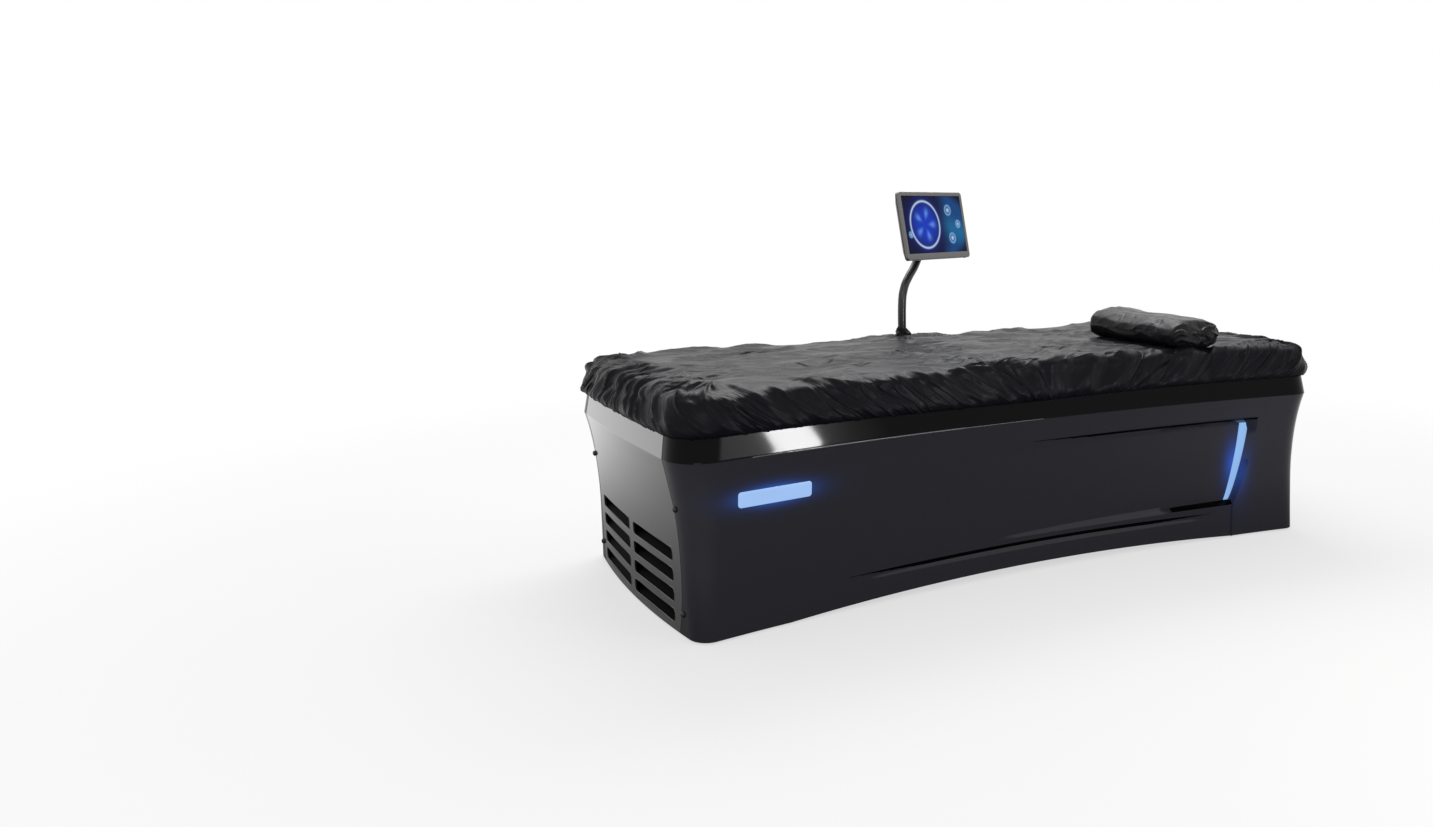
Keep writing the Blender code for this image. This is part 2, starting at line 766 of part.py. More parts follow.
RECESS_ROWS = (5, 10)
GROOVE_ROW = 2
ARCHED_ROW_SHARES = (1.0, GROOVE_RISE_SHARE, GROOVE_RISE_SHARE, GROOVE_RISE_SHARE)


def arch(x):
    return ARCH_RISE * max(0.0, 1 - (x / ARCH_HALF_SPAN) ** 2)


def sunk(x, z, row):
    """How far a point of a long side lies inside the plain form."""
    if row == GROOVE_ROW:
        first, last = GROOVE_FROM_FOOT - LENGTH / 2, LENGTH / 2 - GROOVE_FROM_HEAD
        t = min(max((x - first) / (last - first), 0.0), 1.0)
        return GROOVE_DEPTH * math.sin(math.pi * t)
    if RECESS_ROWS[0] <= row <= RECESS_ROWS[1] and x < step_x(z) - GAP:
        start = bar_span(z)[0] - RECESS_LENGTH
        return RECESS_DEPTH * min(max((x - start) / RECESS_LENGTH, 0.0), 1.0) ** 2
    return 0.0


def side_y(x, z, inset=0.0):
    """How far out the plain long side lies at a place along the bed and a height."""
    section = body_section(z)
    plain = x
    for _ in range(3):
        bowed = shaped(plain, section[1] - inset, section, inset)[0]
        plain += x - bowed
    return shaped(plain, section[1] - inset, section, inset)[1]


def wall_point(station, z, row, inset=0.0):
    """A point of the near side's outer face; x of a side station is in metres here."""
    section = body_section(z)
    sizes = [size - inset for size in section[:3]]
    if station[0] == "seam":
        x, y = shaped(station[1] * sizes[0], -seam_y(z) - SEAM / 2, section, inset)
    elif station[0] == "side":
        x, y = station[3](z), -side_y(station[3](z), z, inset)
    else:
        x, y = shaped(*plain_point(station, *sizes), section, inset)
    lift = arch(x) * ARCHED_ROW_SHARES[row] if row < len(ARCHED_ROW_SHARES) else 0.0
    return x, y + sunk(x, z, row), z + lift


def side_stations():
    """The near side's columns, from the foot seam to the head seam, and the light bar's two."""

    def straight(share):
        def x_at(z):
            half_x, _, corner, _ = body_section(z)
            return mix(corner - half_x, bar_span(z)[0], share)

        return ("side", 0, -1, x_at)

    quarter = np.linspace(0, math.pi / 2, 5)
    found = [("seam", -1, -1, 0)] + [("corner", -1, -1, v) for v in quarter]
    found += [straight(share) for share in np.linspace(0, 1, 11)[1:-1]]
    bar = len(found)
    found.append(("side", 0, -1, lambda z: bar_span(z)[0]))
    found.append(("side", 0, -1, lambda z: bar_span(z)[1]))
    found.append(("side", 0, -1, step_x))
    found += [("corner", 1, -1, v) for v in quarter[::-1]] + [("seam", 1, -1, 0)]
    return found, bar


def side_shell(name, side):
    """One long side with its two corner wraps, recess, groove, band and deck."""
    stations, bar = side_stations()
    heights = wall_heights()
    columns = []
    for station in stations:
        column = [wall_point(station, z, row) for row, z in enumerate(heights)]
        column.append(wall_point(station, RIM_TOP, len(heights), DECK_WIDTH))
        columns.append(column)
    grid = np.array(columns)
    grid[..., 1] *= -side
    made = sheet(
        name, grid, WALL, "gloss_shell", flip=side > 0, holes=[(bar, bar + 1, *RECESS_ROWS)]
    )
    return made


def light_bar(name, side):
    """The lens that fills the slot at the deep end of the recess."""
    heights = wall_heights()[RECESS_ROWS[0] : RECESS_ROWS[1] + 1]
    columns = []
    for share in (0.0, 0.5, 1.0):
        column = []
        for z in heights:
            left, right = bar_span(z)
            x = mix(left + LENS_GAP, right - LENS_GAP, share)
            y = sunk(x, z, RECESS_ROWS[0]) - side_y(x, z)
            z_in = min(max(z, heights[0] + LENS_GAP), heights[-1] - LENS_GAP)
            column.append((x, y, z_in))
        columns.append(column)
    grid = np.array(columns)
    grid[..., 1] *= -side
    return sheet(name, grid, LENS_THICKNESS, "lit_lens", flip=side > 0)


def light_plate():
    """The lit nameplate lens, which follows the side's curve; its face is bare."""
    columns = np.linspace(-1, 1, 7)
    middle = PLATE_FROM_FOOT - LENGTH / 2

    def ring(shrink, out):
        points = []
        half_x, half_z = PLATE_LENGTH / 2 - shrink, PLATE_HEIGHT / 2 - shrink
        top = [(middle + half_x * share, PLATE_Z + half_z) for share in columns[::-1] * CORNER_SHARE]
        bottom = [(x, 2 * PLATE_Z - z) for x, z in top[::-1]]
        right = (middle + half_x, PLATE_Z + half_z - PLATE_CORNER)
        left = (middle - half_x, PLATE_Z + half_z - PLATE_CORNER)
        sides_right = [(right[0], 2 * PLATE_Z - right[1]), right]
        sides_left = [left, (left[0], 2 * PLATE_Z - left[1])]
        for x, z in [*bottom, *sides_right, *top, *sides_left]:
            points.append((x, -side_y(x, z) - out, z))
        return points

    back, front = PLATE_OFF_WALL, PLATE_OFF_WALL + PLATE_THICKNESS
    rings = [ring(0.0, back), ring(0.0, front - PLATE_EDGE), ring(PLATE_EDGE, front)]
    return loft("light_plate", rings, "lit_lens")


CORNER_SHARE = 1 - 2 * PLATE_CORNER / PLATE_LENGTH


def end_x(y, z, inset=0.0):
    """X of the head end's outer face, or of that face drawn in."""
    section = body_section(z)
    return shaped(section[0] - inset, y, section, inset)[0]


def end_panel(name, end):
    """One end between the two seams, with its band and its share of the deck."""
    heights = wall_heights()
    columns = []
    for share in np.linspace(1, -1, 9):
        column = []
        for z in heights:
            y = share * (seam_y(z) - SEAM / 2)
            column.append((-end_x(y, z), y, z))
        column.append((-end_x(column[-1][1], RIM_TOP, DECK_WIDTH), column[-1][1], RIM_TOP))
        columns.append(column)
    grid = np.array(columns)
    grid[..., 0] *= -end
    return sheet(name, grid, WALL, "end_panel", flip=end > 0)


def louvre_slots():
    """The cutter for both columns of louvre slots."""
    outlines = []
    for side in (-1, 1):
        for k in range(LOUVRE_COUNT):
            half_y, half_z = (LOUVRE_OUTER - LOUVRE_INNER) / 2, LOUVRE_HEIGHT / 2
            centre = (side * (LOUVRE_OUTER + LOUVRE_INNER) / 2, LOUVRE_TOP - LOUVRE_PITCH * k - half_z)
            outlines.append(rounded(half_y, half_z, LOUVRE_CORNER, 3, centre))
    length = 2 * (BLADE_DEPTH + 2 * OVERRUN)
    cutters = [
        plate(f"louvre_cutter_{i}", [outline], length, "end_panel", facing_x(-LENGTH / 2, 0, 0))
        for i, outline in enumerate(outlines)
    ]
    return joined("louvre_cutter", cutters, "end_panel")


def louvre_blades():
    """The blades that slope up and in behind each slot, and the three ribs that tie them."""
    rings_of = []
    for side in (-1, 1):
        for k in range(LOUVRE_COUNT):
            low = LOUVRE_TOP - LOUVRE_PITCH * k - LOUVRE_HEIGHT
            rings = []
            for y in np.linspace(LOUVRE_INNER - RIB_THICKNESS, LOUVRE_OUTER + RIB_THICKNESS, 6):
                face = -end_x(y, low)
                outer, inner = face + WALL * LIP_SHARE, face + BLADE_DEPTH
                rings.append([
                    (outer, side * y, low - BLADE_THICKNESS),
                    (outer, side * y, low + BLADE_THICKNESS * LIP_SHARE),
                    (inner, side * y, low + BLADE_RISE),
                    (inner, side * y, low + BLADE_RISE - BLADE_THICKNESS),
                ])
            rings_of.append(rings)
    bottom = LOUVRE_TOP - LOUVRE_PITCH * (LOUVRE_COUNT - 1) - LOUVRE_HEIGHT - RIB_MARGIN
    for y in (-LOUVRE_OUTER - RIB_THICKNESS, 0.0, LOUVRE_OUTER + RIB_THICKNESS):
        rings = []
        for z in np.linspace(bottom, LOUVRE_TOP + RIB_MARGIN, 4):
            outer, inner = -end_x(y, z) + WALL / 2, -end_x(y, z) + BLADE_DEPTH + BLADE_THICKNESS / 2
            half = RIB_THICKNESS if y else LOUVRE_INNER - BLADE_THICKNESS
            near, far = y - half, y + half
            rings.append([(outer, near, z), (inner, near, z), (inner, far, z), (outer, far, z)])
        rings_of.append(rings)
    pieces = [loft(f"louvre_piece_{i}", rings, "end_panel") for i, rings in enumerate(rings_of)]
    return joined("louvre_grille", pieces, "end_panel")


def foot_end_panel():
    made = end_panel("foot_end_panel", -1)
    cut(made, louvre_slots())
    blades = cut(made, louvre_blades(), "UNION").modifiers[-1]
    blades.use_self = True
    return made


def head_end_panel():
    made = end_panel("head_end_panel", 1)
    outline = rounded(INLET_HALF_Y + GAP, INLET_HALF_Z + GAP, INLET_FLANGE / 2)
    place = facing_x(end_x(0, INLET_Z), 0, INLET_Z)
    hole = plate("inlet_cutter", [outline], 2 * OVERRUN, "end_panel", place)
    return cut(made, hole)


def power_inlet():
    """The appliance inlet in the head end, with its empty socket."""
    face = end_x(0, INLET_Z) + GAP
    flange = rounded(INLET_HALF_Y + INLET_FLANGE, INLET_HALF_Z + INLET_FLANGE, INLET_FLANGE)
    lap = INLET_FLANGE_THICKNESS / 2
    front = face + INLET_FLANGE_THICKNESS
    plastic = "monitor_plastic"
    made = plate("power_inlet", [flange], 2 * lap, plastic, facing_x(face + lap, 0, INLET_Z))
    outline = rounded(INLET_HALF_Y, INLET_HALF_Z, INLET_FLANGE / 2)
    middle = facing_x(face + lap - INLET_DEPTH / 2, 0, INLET_Z)
    cut(made, plate("inlet_body", [outline], INLET_DEPTH, plastic, middle), "UNION")
    socket = rounded(SOCKET_HALF_Y, SOCKET_HALF_Z, SOCKET_HALF_Z / 4)
    hole = plate("socket_cutter", [socket], 2 * SOCKET_DEPTH, plastic, facing_x(front, 0, INLET_Z))
    return cut(made, hole)


def panel_screws():
    """Black-capped screws beside each seam, upper and lower, at both ends."""
    for end, end_name in ((-1, "foot"), (1, "head")):
        for side, side_name in ((-1, "near"), (1, "far")):
            for level, z in (("upper", SCREW_UPPER_Z), ("lower", SCREW_LOWER_Z)):
                section = body_section(z)
                along = seam_y(z) + SCREW_FROM_SEAM - (section[1] - section[2])
                turn = math.asin(max(along, 0.0) / section[2])
                plain = plain_point(("corner", 1, 1, turn), *section[:3])
                x, y = shaped(plain[0], seam_y(z) + SCREW_FROM_SEAM, section)
                out = Vector((end * math.cos(turn), side * math.sin(turn), 0))
                place = Vector((end * x, side * y, z)) + out * SCREW_OFF_WALL
                turn_out = Vector((0, 0, 1)).rotation_difference(out).to_matrix().to_4x4()
                profile = [(0, 0), (SCREW_RADIUS, 0), (SCREW_RADIUS, SCREW_HEIGHT / 2)]
                profile += [(SCREW_RADIUS * DOME_SHARE, SCREW_HEIGHT), (0, SCREW_HEIGHT)]
                turned(
                    f"panel_screw_{end_name}_{side_name}_{level}", profile, "black_rubber",
                    Matrix.Translation(place) @ turn_out, segments=10,
                )


# The frame

def ladder(name, across, up, thickness, windows, material):
    """A welded frame lying in local X and Y: a grid of bars whose windows are left out."""
    grid = np.array([[(x, y, thickness / 2) for y in up] for x in across])
    return sheet(name, grid, thickness, material, holes=windows)


def side_frame(name, side):
    """A welded ladder of square tube along one side, drilled below for the levelling feet."""
    half = LENGTH / 2 - END_FRAME_FROM_END - END_FRAME_THICKNESS / 2 - GAP
    tall = (FRAME_TOP - FRAME_LOW) / 2
    middle = half * FRAME_POST_SHARE
    right = [middle - FRAME_TUBE / 2, middle + FRAME_TUBE / 2, half - FRAME_TUBE, half]
    across = [-x for x in right[::-1]] + right
    up = [-tall, FRAME_TUBE - tall, tall - FRAME_TUBE, tall]
    windows = [(1, 2, 1, 2), (3, 4, 1, 2), (5, 6, 1, 2)]
    made = ladder(name, across, up, FRAME_TUBE, windows, "powder_coat")
    made.matrix_world = facing_y(0, side * FRAME_HALF_Y, (FRAME_TOP + FRAME_LOW) / 2)
    bore = STEM_RADIUS + GAP
    profile = [(0, -OVERRUN), (bore, -OVERRUN), (bore, STEM_DEPTH), (0, STEM_DEPTH)]
    for end in (-1, 1):
        place = at(end * foot_x(), side * FRAME_HALF_Y, FRAME_LOW)
        cut(made, turned(f"{name}_foot_hole_{end}", profile, "powder_coat", place, segments=12))
    return made


def foot_x():
    return LENGTH / 2 - FOOT_FROM_END


def leveling_feet():
    """Four screwed feet, each a pad, a neck, a lock nut and a stem in the lower rail."""
    nut_low = FRAME_LOW - GAP - NUT_HEIGHT
    profile = [
        (0, 0), (PAD_RADIUS, 0), (PAD_RADIUS, PAD_HEIGHT / 2), (NUT_RADIUS, PAD_HEIGHT),
        (STEM_RADIUS, PAD_HEIGHT), (STEM_RADIUS, nut_low), (NUT_RADIUS, nut_low),
        (NUT_RADIUS, nut_low + NUT_HEIGHT), (STEM_RADIUS, nut_low + NUT_HEIGHT),
        (STEM_RADIUS, FRAME_LOW + STEM_DEPTH - GAP), (0, FRAME_LOW + STEM_DEPTH - GAP),
    ]
    for end, end_name in ((-1, "foot"), (1, "head")):
        for side, side_name in ((-1, "near"), (1, "far")):
            place = at(end * foot_x(), side * FRAME_HALF_Y, 0)
            turned(f"leveling_foot_{end_name}_{side_name}", profile, "zinc_steel", place, segments=10)


def end_frame(name, end):
    """The frame across one end that carries the deck, with a window for air and one above."""
    half = WIDTH / 2 - END_FRAME_FROM_SIDE
    across = [-half, FRAME_TUBE - half, half - FRAME_TUBE, half]
    bars = (FRAME_LOW, END_FRAME_MID, FRAME_TOP - FRAME_TUBE)
    centre = (FRAME_TOP + FRAME_LOW) / 2
    up = [edge - centre for bar in bars for edge in (bar, bar + FRAME_TUBE)]
    windows = [(1, 2, 1, 2), (1, 2, 3, 4)]
    made = ladder(name, across, up, END_FRAME_THICKNESS, windows, "powder_coat")
    made.matrix_world = facing_x(end * (LENGTH / 2 - END_FRAME_FROM_END), 0, centre)
    return made


def equipment_tray():
    """The folded pan between the lower rails, on which pump and controls stand."""
    half = FRAME_HALF_Y - FRAME_TUBE / 2 - GAP
    low = FRAME_LOW + TRAY_LIFT
    outline = [
        (-half, low), (half, low), (half, low + TRAY_LIP), (half - TRAY_SHEET, low + TRAY_LIP),
        (half - TRAY_SHEET, TRAY_TOP), (TRAY_SHEET - half, TRAY_TOP),
        (TRAY_SHEET - half, low + TRAY_LIP), (-half, low + TRAY_LIP),
    ]
    return plate("equipment_tray", [outline], 2 * TRAY_HALF_LENGTH, "zinc_steel", facing_x(0, 0, 0))


# The tank, the membrane and the padding on top

def water_tank():
    """The moulded basin: a flange on the frame, a ledge for the rails and a deeper sump."""
    upper = (TANK_HALF_X, TANK_HALF_Y, TANK_CORNER)
    lower = (TANK_HALF_X - LEDGE_WIDTH / 2, TANK_HALF_Y - LEDGE_WIDTH, TANK_CORNER)
    upper_out = tuple(size + WALL for size in upper)
    lower_out = tuple(size + WALL for size in lower)
    flange = DECK_WIDTH + TANK_FLANGE_GAP
    rings = [
        straight_loop(LOOP, *lower, TANK_FLOOR),
        straight_loop(LOOP, *lower, TANK_LEDGE),
        straight_loop(LOOP, *upper, TANK_LEDGE),
        straight_loop(LOOP, *upper, RIM_TOP),
        body_loop(LOOP, RIM_TOP, flange, RIM_TOP),
        body_loop(LOOP, RIM_TOP, flange, RIM_TOP - WALL),
        straight_loop(LOOP, *upper_out, RIM_TOP - WALL),
        straight_loop(LOOP, *upper_out, TANK_LEDGE - WALL),
        straight_loop(LOOP, *lower_out, TANK_LEDGE - WALL),
        straight_loop(LOOP, *lower_out, TANK_FLOOR - WALL),
    ]
    made = loft("water_tank", rings, "tank_plastic")
    hole_low, hole_high = TANK_FLOOR - WALL - OVERRUN, TANK_FLOOR + OVERRUN
    radius = SHAFT_RADIUS + GAP
    hole = [(0, hole_low), (radius, hole_low), (radius, hole_high), (0, hole_high)]
    cut(made, turned("shaft_hole", hole, "tank_plastic", at(-pulley_x(), 0, 0), segments=12))
    spindle_top = BELT_LOW + BELT_HEIGHT + FLANGE_HEIGHT
    sunk_in = TANK_FLOOR - WALL / 2
    boss = SPINDLE_BOSS_RADIUS
    spindle = [(0, sunk_in), (boss, sunk_in), (boss, IDLER_SEAT), (SHAFT_RADIUS, IDLER_SEAT)]
    spindle += [(SHAFT_RADIUS, spindle_top), (0, spindle_top)]
    place = at(pulley_x(), 0, 0)
    return cut(made, turned("idler_spindle", spindle, "tank_plastic", place, segments=12), "UNION")


def membrane():
    """The rubber diaphragm: flat under the clamp, domed by the water over the tank."""
    base = RIM_TOP + GAP
    rings = [
        body_loop(LOOP, RIM_TOP, DECK_WIDTH + 2 * TANK_FLANGE_GAP, base),
        straight_loop(LOOP, TANK_HALF_X, TANK_HALF_Y, TANK_CORNER, base),
    ]
    for share in MEMBRANE_RING_SHARES:
        sizes = (TANK_HALF_X - TANK_HALF_Y * share, TANK_HALF_Y * (1 - share), TANK_CORNER * (1 - share))
        rings.append(straight_loop(LOOP, *sizes, base + MEMBRANE_CROWN * math.sin(share * math.pi / 2)))
    lower = rings[::-1]
    upper = [[(x, y, z + MEMBRANE_THICKNESS) for x, y, z in ring] for ring in rings]
    return loft("membrane", lower + upper, "membrane_rubber")


def membrane_clamp():
    """The flat hoop that holds the membrane down on the tank's flange."""
    low = RIM_TOP + 2 * GAP + MEMBRANE_THICKNESS
    inset = DECK_WIDTH + CLAMP_INSET
    inner = (TANK_HALF_X + CLAMP_LAP, TANK_HALF_Y + CLAMP_LAP, TANK_CORNER)
    rings = [
        body_loop(LOOP, RIM_TOP, inset, low),
        body_loop(LOOP, RIM_TOP, inset, low + CLAMP_HEIGHT),
        straight_loop(LOOP, *inner, low + CLAMP_HEIGHT),
        straight_loop(LOOP, *inner, low),
    ]
    return loft("membrane_clamp", rings, "stainless", wrap=True)


def edge_bolster():
    """The foam ring on the deck that pads the bed's edge, cut for the post's socket."""
    low = RIM_TOP + GAP
    shoulder = (BOLSTER_TOP - low) * BOLSTER_SHOULDER_SHARE
    outside = [(BOLSTER_OUTER, low), (BOLSTER_OUTER, BOLSTER_TOP - shoulder)]
    crown = [(BOLSTER_OUTER + shoulder, BOLSTER_TOP), (BOLSTER_INNER - shoulder, BOLSTER_TOP)]
    section = [*outside, *crown, (BOLSTER_INNER, BOLSTER_TOP - shoulder), (BOLSTER_INNER, low)]
    rings = [body_loop(LOOP, RIM_TOP, inset, z) for inset, z in section]
    made = loft("edge_bolster", rings, "foam", wrap=True, smooth=60)
    return cut(made, post_hole("bolster_post_hole", socket_radius() + SOCKET_CLEAR))


def post_y():
    """The post stands against the outer face of the far side frame."""
    return FRAME_HALF_Y + FRAME_TUBE / 2 + GAP + socket_radius()


def socket_radius():
    return POST_RADIUS + GAP + SOCKET_WALL


def post_hole(name, radius):
    low, high = RIM_TOP - OVERRUN, COVER_TOP + OVERRUN
    profile = [(0, low), (radius, low), (radius, high), (0, high)]
    return turned(name, profile, "foam", at(POST_X, post_y(), 0), segments=16)


# The cover and the pillow

COVER_LOOP = loop_stations(5, 17, 7)


def cover_height(x, y, share):
    """The cover's upper face: long shallow waves that die out before the pillow's place."""
    wave = math.sin((9 * x + 5 * y) / WIDTH) * math.cos((4 * x - 9 * y) / WIDTH)
    calm = 1 - min(max(2 * x / LENGTH / COVER_CALM_SHARE, 0.0), 1.0)
    edge = max(0.0, 1 - share / COVER_TOP_SHARES[1])
    middle = 0.0 if share == COVER_TOP_SHARES[-1] else 1.0
    return COVER_TOP - COVER_SHOULDER * edge + COVER_WAVE * wave * calm * middle


def bed_cover():
    """The fitted cover: a waved top, slanting pleats down its skirt and a gathered hem."""
    count = len(COVER_LOOP)
    turns = np.arange(count) * 2 * math.pi / count
    depth = 0.7 + 0.3 * np.sin(3 * turns)
    outer = []
    for out, rise, share in COVER_OUTER_SHARES:
        z = mix(COVER_HEM, COVER_TOP, rise)
        outline_z = min(z, RIM_TOP)
        flat = np.array(body_loop(COVER_LOOP, outline_z, -out * COVER_OVERHANG, z))
        proud = np.array(body_loop(COVER_LOOP, outline_z, -out * COVER_OVERHANG - COVER_PLEAT, z))
        pleat = share * depth * np.sin(PLEATS_ROUND * turns + PLEAT_SLANT * math.pi * rise)
        outer.append(flat + (proud - flat) * pleat[:, None])
    for share in COVER_TOP_SHARES:
        ring = body_loop(COVER_LOOP, RIM_TOP, share * WIDTH / 2, COVER_TOP, 1 - share)
        outer.append([(x, y, cover_height(x, y, share)) for x, y, _ in ring])
    inner = []
    for out, rise in COVER_INNER_SHARES:
        z = mix(COVER_HEM, COVER_TOP, rise)
        inner.append(body_loop(COVER_LOOP, min(z, RIM_TOP), -out * COVER_OVERHANG, z))
    inner.append(body_loop(COVER_LOOP, RIM_TOP, BOLSTER_OUTER, BOLSTER_TOP + GAP))
    made = loft("bed_cover", inner[::-1] + outer, "cover_fabric", smooth=60)
    return cut(made, post_hole("cover_post_hole", POST_RADIUS + COVER_CLEAR))


def neck_pillow():
    """The neck roll: a crowned bag with drawn-in ends, flat where it lies on the cover."""
    rings = []
    low = COVER_TOP + GAP
    for share in PILLOW_STATION_SHARES:
        s = abs(share)
        wide = PILLOW_WIDTH / 2 * (1 - PILLOW_DRAWN_WIDTH_SHARE * s**2) * math.sqrt(1 - s**10)
        tall = PILLOW_HEIGHT * (1 - PILLOW_DRAWN_HEIGHT_SHARE * s**2) * math.sqrt(1 - s**8)
        ring = []
        for turn in (np.arange(14) + 0.5) * 2 * math.pi / 14:
            c, n = math.cos(turn), math.sin(turn)
            x = wide * math.copysign(abs(c) ** 0.75, c)
            z = tall * (1 + math.copysign(abs(n) ** 0.8, n)) / 2
            ring.append((x, share * PILLOW_LENGTH / 2, z + PILLOW_END_LIFT * s**8))
        rings.append(ring)
    place = at(LENGTH / 2 - PILLOW_FROM_HEAD, PILLOW_Y, low) @ Matrix.Rotation(PILLOW_TURN, 4, "Z")
    return loft("neck_pillow", rings, "cover_fabric", place=place, smooth=75)


# The jet carriage and its drive

def pulley_x():
    return TANK_HALF_X - PULLEY_FROM_END


def rail_y():
    return TANK_HALF_Y - LEDGE_WIDTH / 2


def carriage_rail(name, side):
    """A running rail with chamfered upper corners, lying on the tank's ledge."""
    half, cant = RAIL_WIDTH / 2, RAIL_WIDTH / 8
    outline = [(-half, 0), (half, 0), (half, RAIL_HEIGHT - cant), (half - cant, RAIL_HEIGHT)]
    outline += [(cant - half, RAIL_HEIGHT), (-half, RAIL_HEIGHT - cant)]
    length = 2 * (TANK_HALF_X - TANK_CORNER - RAIL_END_GAP)
    return plate(name, [outline], length, "stainless", facing_x(0, side * rail_y(), TANK_LEDGE + GAP))


def carriage_levels():
    """Underside of the shoes, underside of the plate and top of the plate."""
    shoe = TANK_LEDGE + RAIL_HEIGHT + 2 * GAP
    return shoe, shoe + CARRIAGE_SHOE, shoe + CARRIAGE_SHOE + CARRIAGE_PLATE


def jet_carriage():
    """The sledge: a plate on two shoes, the water manifold below it and the jaw on the belt."""
    shoe, under, top = carriage_levels()
    manifold = under - MANIFOLD_DEPTH
    shoe_in = rail_y() - RAIL_WIDTH / 2
    shoe_out = rail_y() + RAIL_WIDTH / 2 + CARRIAGE_LAP
    belt_in = PULLEY_RADIUS + BELT_SEAT - GAP
    belt_out = PULLEY_RADIUS + BELT_SEAT + BELT_THICKNESS + GAP
    jaw_low = BELT_LOW + JAW_CLEAR
    slot_top = BELT_LOW + BELT_HEIGHT + GAP
    right = [
        (MANIFOLD_HALF_Y, manifold), (MANIFOLD_HALF_Y, under), (shoe_in, under), (shoe_in, shoe),
        (shoe_out, shoe), (shoe_out, top),
    ]
    left = [(-y, z) for y, z in right[::-1]]
    jaw_in, jaw_out = belt_in - JAW_WALL, belt_out + JAW_WALL
    jaw = [(jaw_in, manifold), (jaw_in, jaw_low), (belt_in, jaw_low), (belt_in, slot_top)]
    jaw += [(belt_out, slot_top), (belt_out, jaw_low), (jaw_out, jaw_low), (jaw_out, manifold)]
    outline, plastic = [*left, *jaw, *right], "carriage_plastic"
    made = plate("jet_carriage", [outline], CARRIAGE_LENGTH, plastic, facing_x(0, 0, 0))
    radius, low = ROTOR_SHAFT + GAP, top - ROTOR_SHAFT_DEPTH - GAP
    profile = [(0, low), (radius, low), (radius, top + OVERRUN), (0, top + OVERRUN)]
    for side in (-1, 1):
        place = at(0, side * ROTOR_Y, 0)
        cut(made, turned(f"rotor_bore_{side}", profile, plastic, place, segments=12))
    return made


def jet_rotor(name, side):
    """A turning jet head: a hub on its shaft and three arms that end in nozzles."""
    top = carriage_levels()[2]
    base = top + GAP
    profile = [(0, top - ROTOR_SHAFT_DEPTH), (ROTOR_SHAFT, top - ROTOR_SHAFT_DEPTH), (ROTOR_SHAFT, base)]
    profile += [(ROTOR_HUB_RADIUS * r, base + ROTOR_HUB_HEIGHT * h) for r, h in ROTOR_HUB_SHARES]
    profile.append((0, profile[-1][1]))
    place = at(0, side * ROTOR_Y, 0)
    made = turned(name, profile, "stainless", place, segments=12)
    arm_z = base + ROTOR_HUB_HEIGHT * ROTOR_ARM_LEVEL_SHARE
    outline = []
    end_radius = ROTOR_REACH - NOZZLE_RADIUS
    notch = ROTOR_ARM_WIDTH / 2 / math.sin(math.pi / ROTOR_ARMS)
    for k in range(ROTOR_ARMS):
        turn = side * k * 2 * math.pi / ROTOR_ARMS
        along, across = (math.cos(turn), math.sin(turn)), (-math.sin(turn), math.cos(turn))
        half = side * ROTOR_ARM_WIDTH / 2
        for offset in (-half, half):
            outline.append([end_radius * a + offset * c for a, c in zip(along, across)])
        between = turn + side * math.pi / ROTOR_ARMS
        outline.append((notch * math.cos(between), notch * math.sin(between)))
    arms = plate(f"{name}_arms", [outline], ROTOR_ARM_HEIGHT, "stainless", place @ at(0, 0, arm_z))
    cut(made, arms, "UNION")
    straight, floor = NOZZLE_HEIGHT * NOZZLE_STRAIGHT_SHARE, NOZZLE_HEIGHT * NOZZLE_BORE_SHARE
    nozzle = [(0, 0), (NOZZLE_RADIUS, 0), (NOZZLE_RADIUS, straight)]
    nozzle += [(NOZZLE_MOUTH + NOZZLE_LIP, NOZZLE_HEIGHT), (NOZZLE_MOUTH, NOZZLE_HEIGHT)]
    nozzle += [(NOZZLE_MOUTH, floor), (0, floor)]
    for k in range(ROTOR_ARMS):
        turn = side * k * 2 * math.pi / ROTOR_ARMS
        spot = place @ at(end_radius * math.cos(turn), end_radius * math.sin(turn), base + GAP)
        cut(made, turned(f"{name}_nozzle_{k}", nozzle, "stainless", spot, segments=8), "UNION")
    return made


def drive_belt():
    """The endless belt, lying flat round both pulleys."""
    def stadium(radius):
        quarter = np.linspace(-math.pi / 2, math.pi / 2, 9)
        head = [(pulley_x() + radius * math.cos(t), radius * math.sin(t)) for t in quarter]
        return head + [(-x, -y) for x, y in head]

    inner = PULLEY_RADIUS + BELT_SEAT
    outlines = [stadium(inner + BELT_THICKNESS), stadium(inner)]
    place = at(0, 0, BELT_LOW + BELT_HEIGHT / 2)
    return plate("drive_belt", outlines, BELT_HEIGHT, "black_rubber", place)


def pulley_rim():
    """The rim that both pulleys share: two flanges with the belt's seat between them."""
    low, high = BELT_LOW - GAP, BELT_LOW + BELT_HEIGHT + GAP
    flange = PULLEY_RADIUS + PULLEY_FLANGE
    return [
        (flange, low - FLANGE_HEIGHT), (flange, low), (PULLEY_RADIUS, low), (PULLEY_RADIUS, high),
        (flange, high), (flange, high + FLANGE_HEIGHT),
    ]


def drive_pulley():
    """The driven pulley with its shaft down through the tank's floor into the motor."""
    rim = pulley_rim()
    low = motor_top() - MOTOR_BORE
    profile = [(0, low), (SHAFT_RADIUS, low), (SHAFT_RADIUS, rim[0][1]), *rim, (0, rim[-1][1])]
    return turned("drive_pulley", profile, "motor_alloy", at(-pulley_x(), 0, 0), segments=20)


def idler_pulley():
    """The idler, free on the spindle moulded in the tank."""
    rim = pulley_rim()
    bore = SHAFT_RADIUS + GAP
    profile = [(bore, rim[0][1]), *rim, (bore, rim[-1][1])]
    return turned("idler_pulley", profile, "motor_alloy", at(pulley_x(), 0, 0), segments=20, wrap=True)


def motor_top():
    return TANK_FLOOR - WALL - GAP


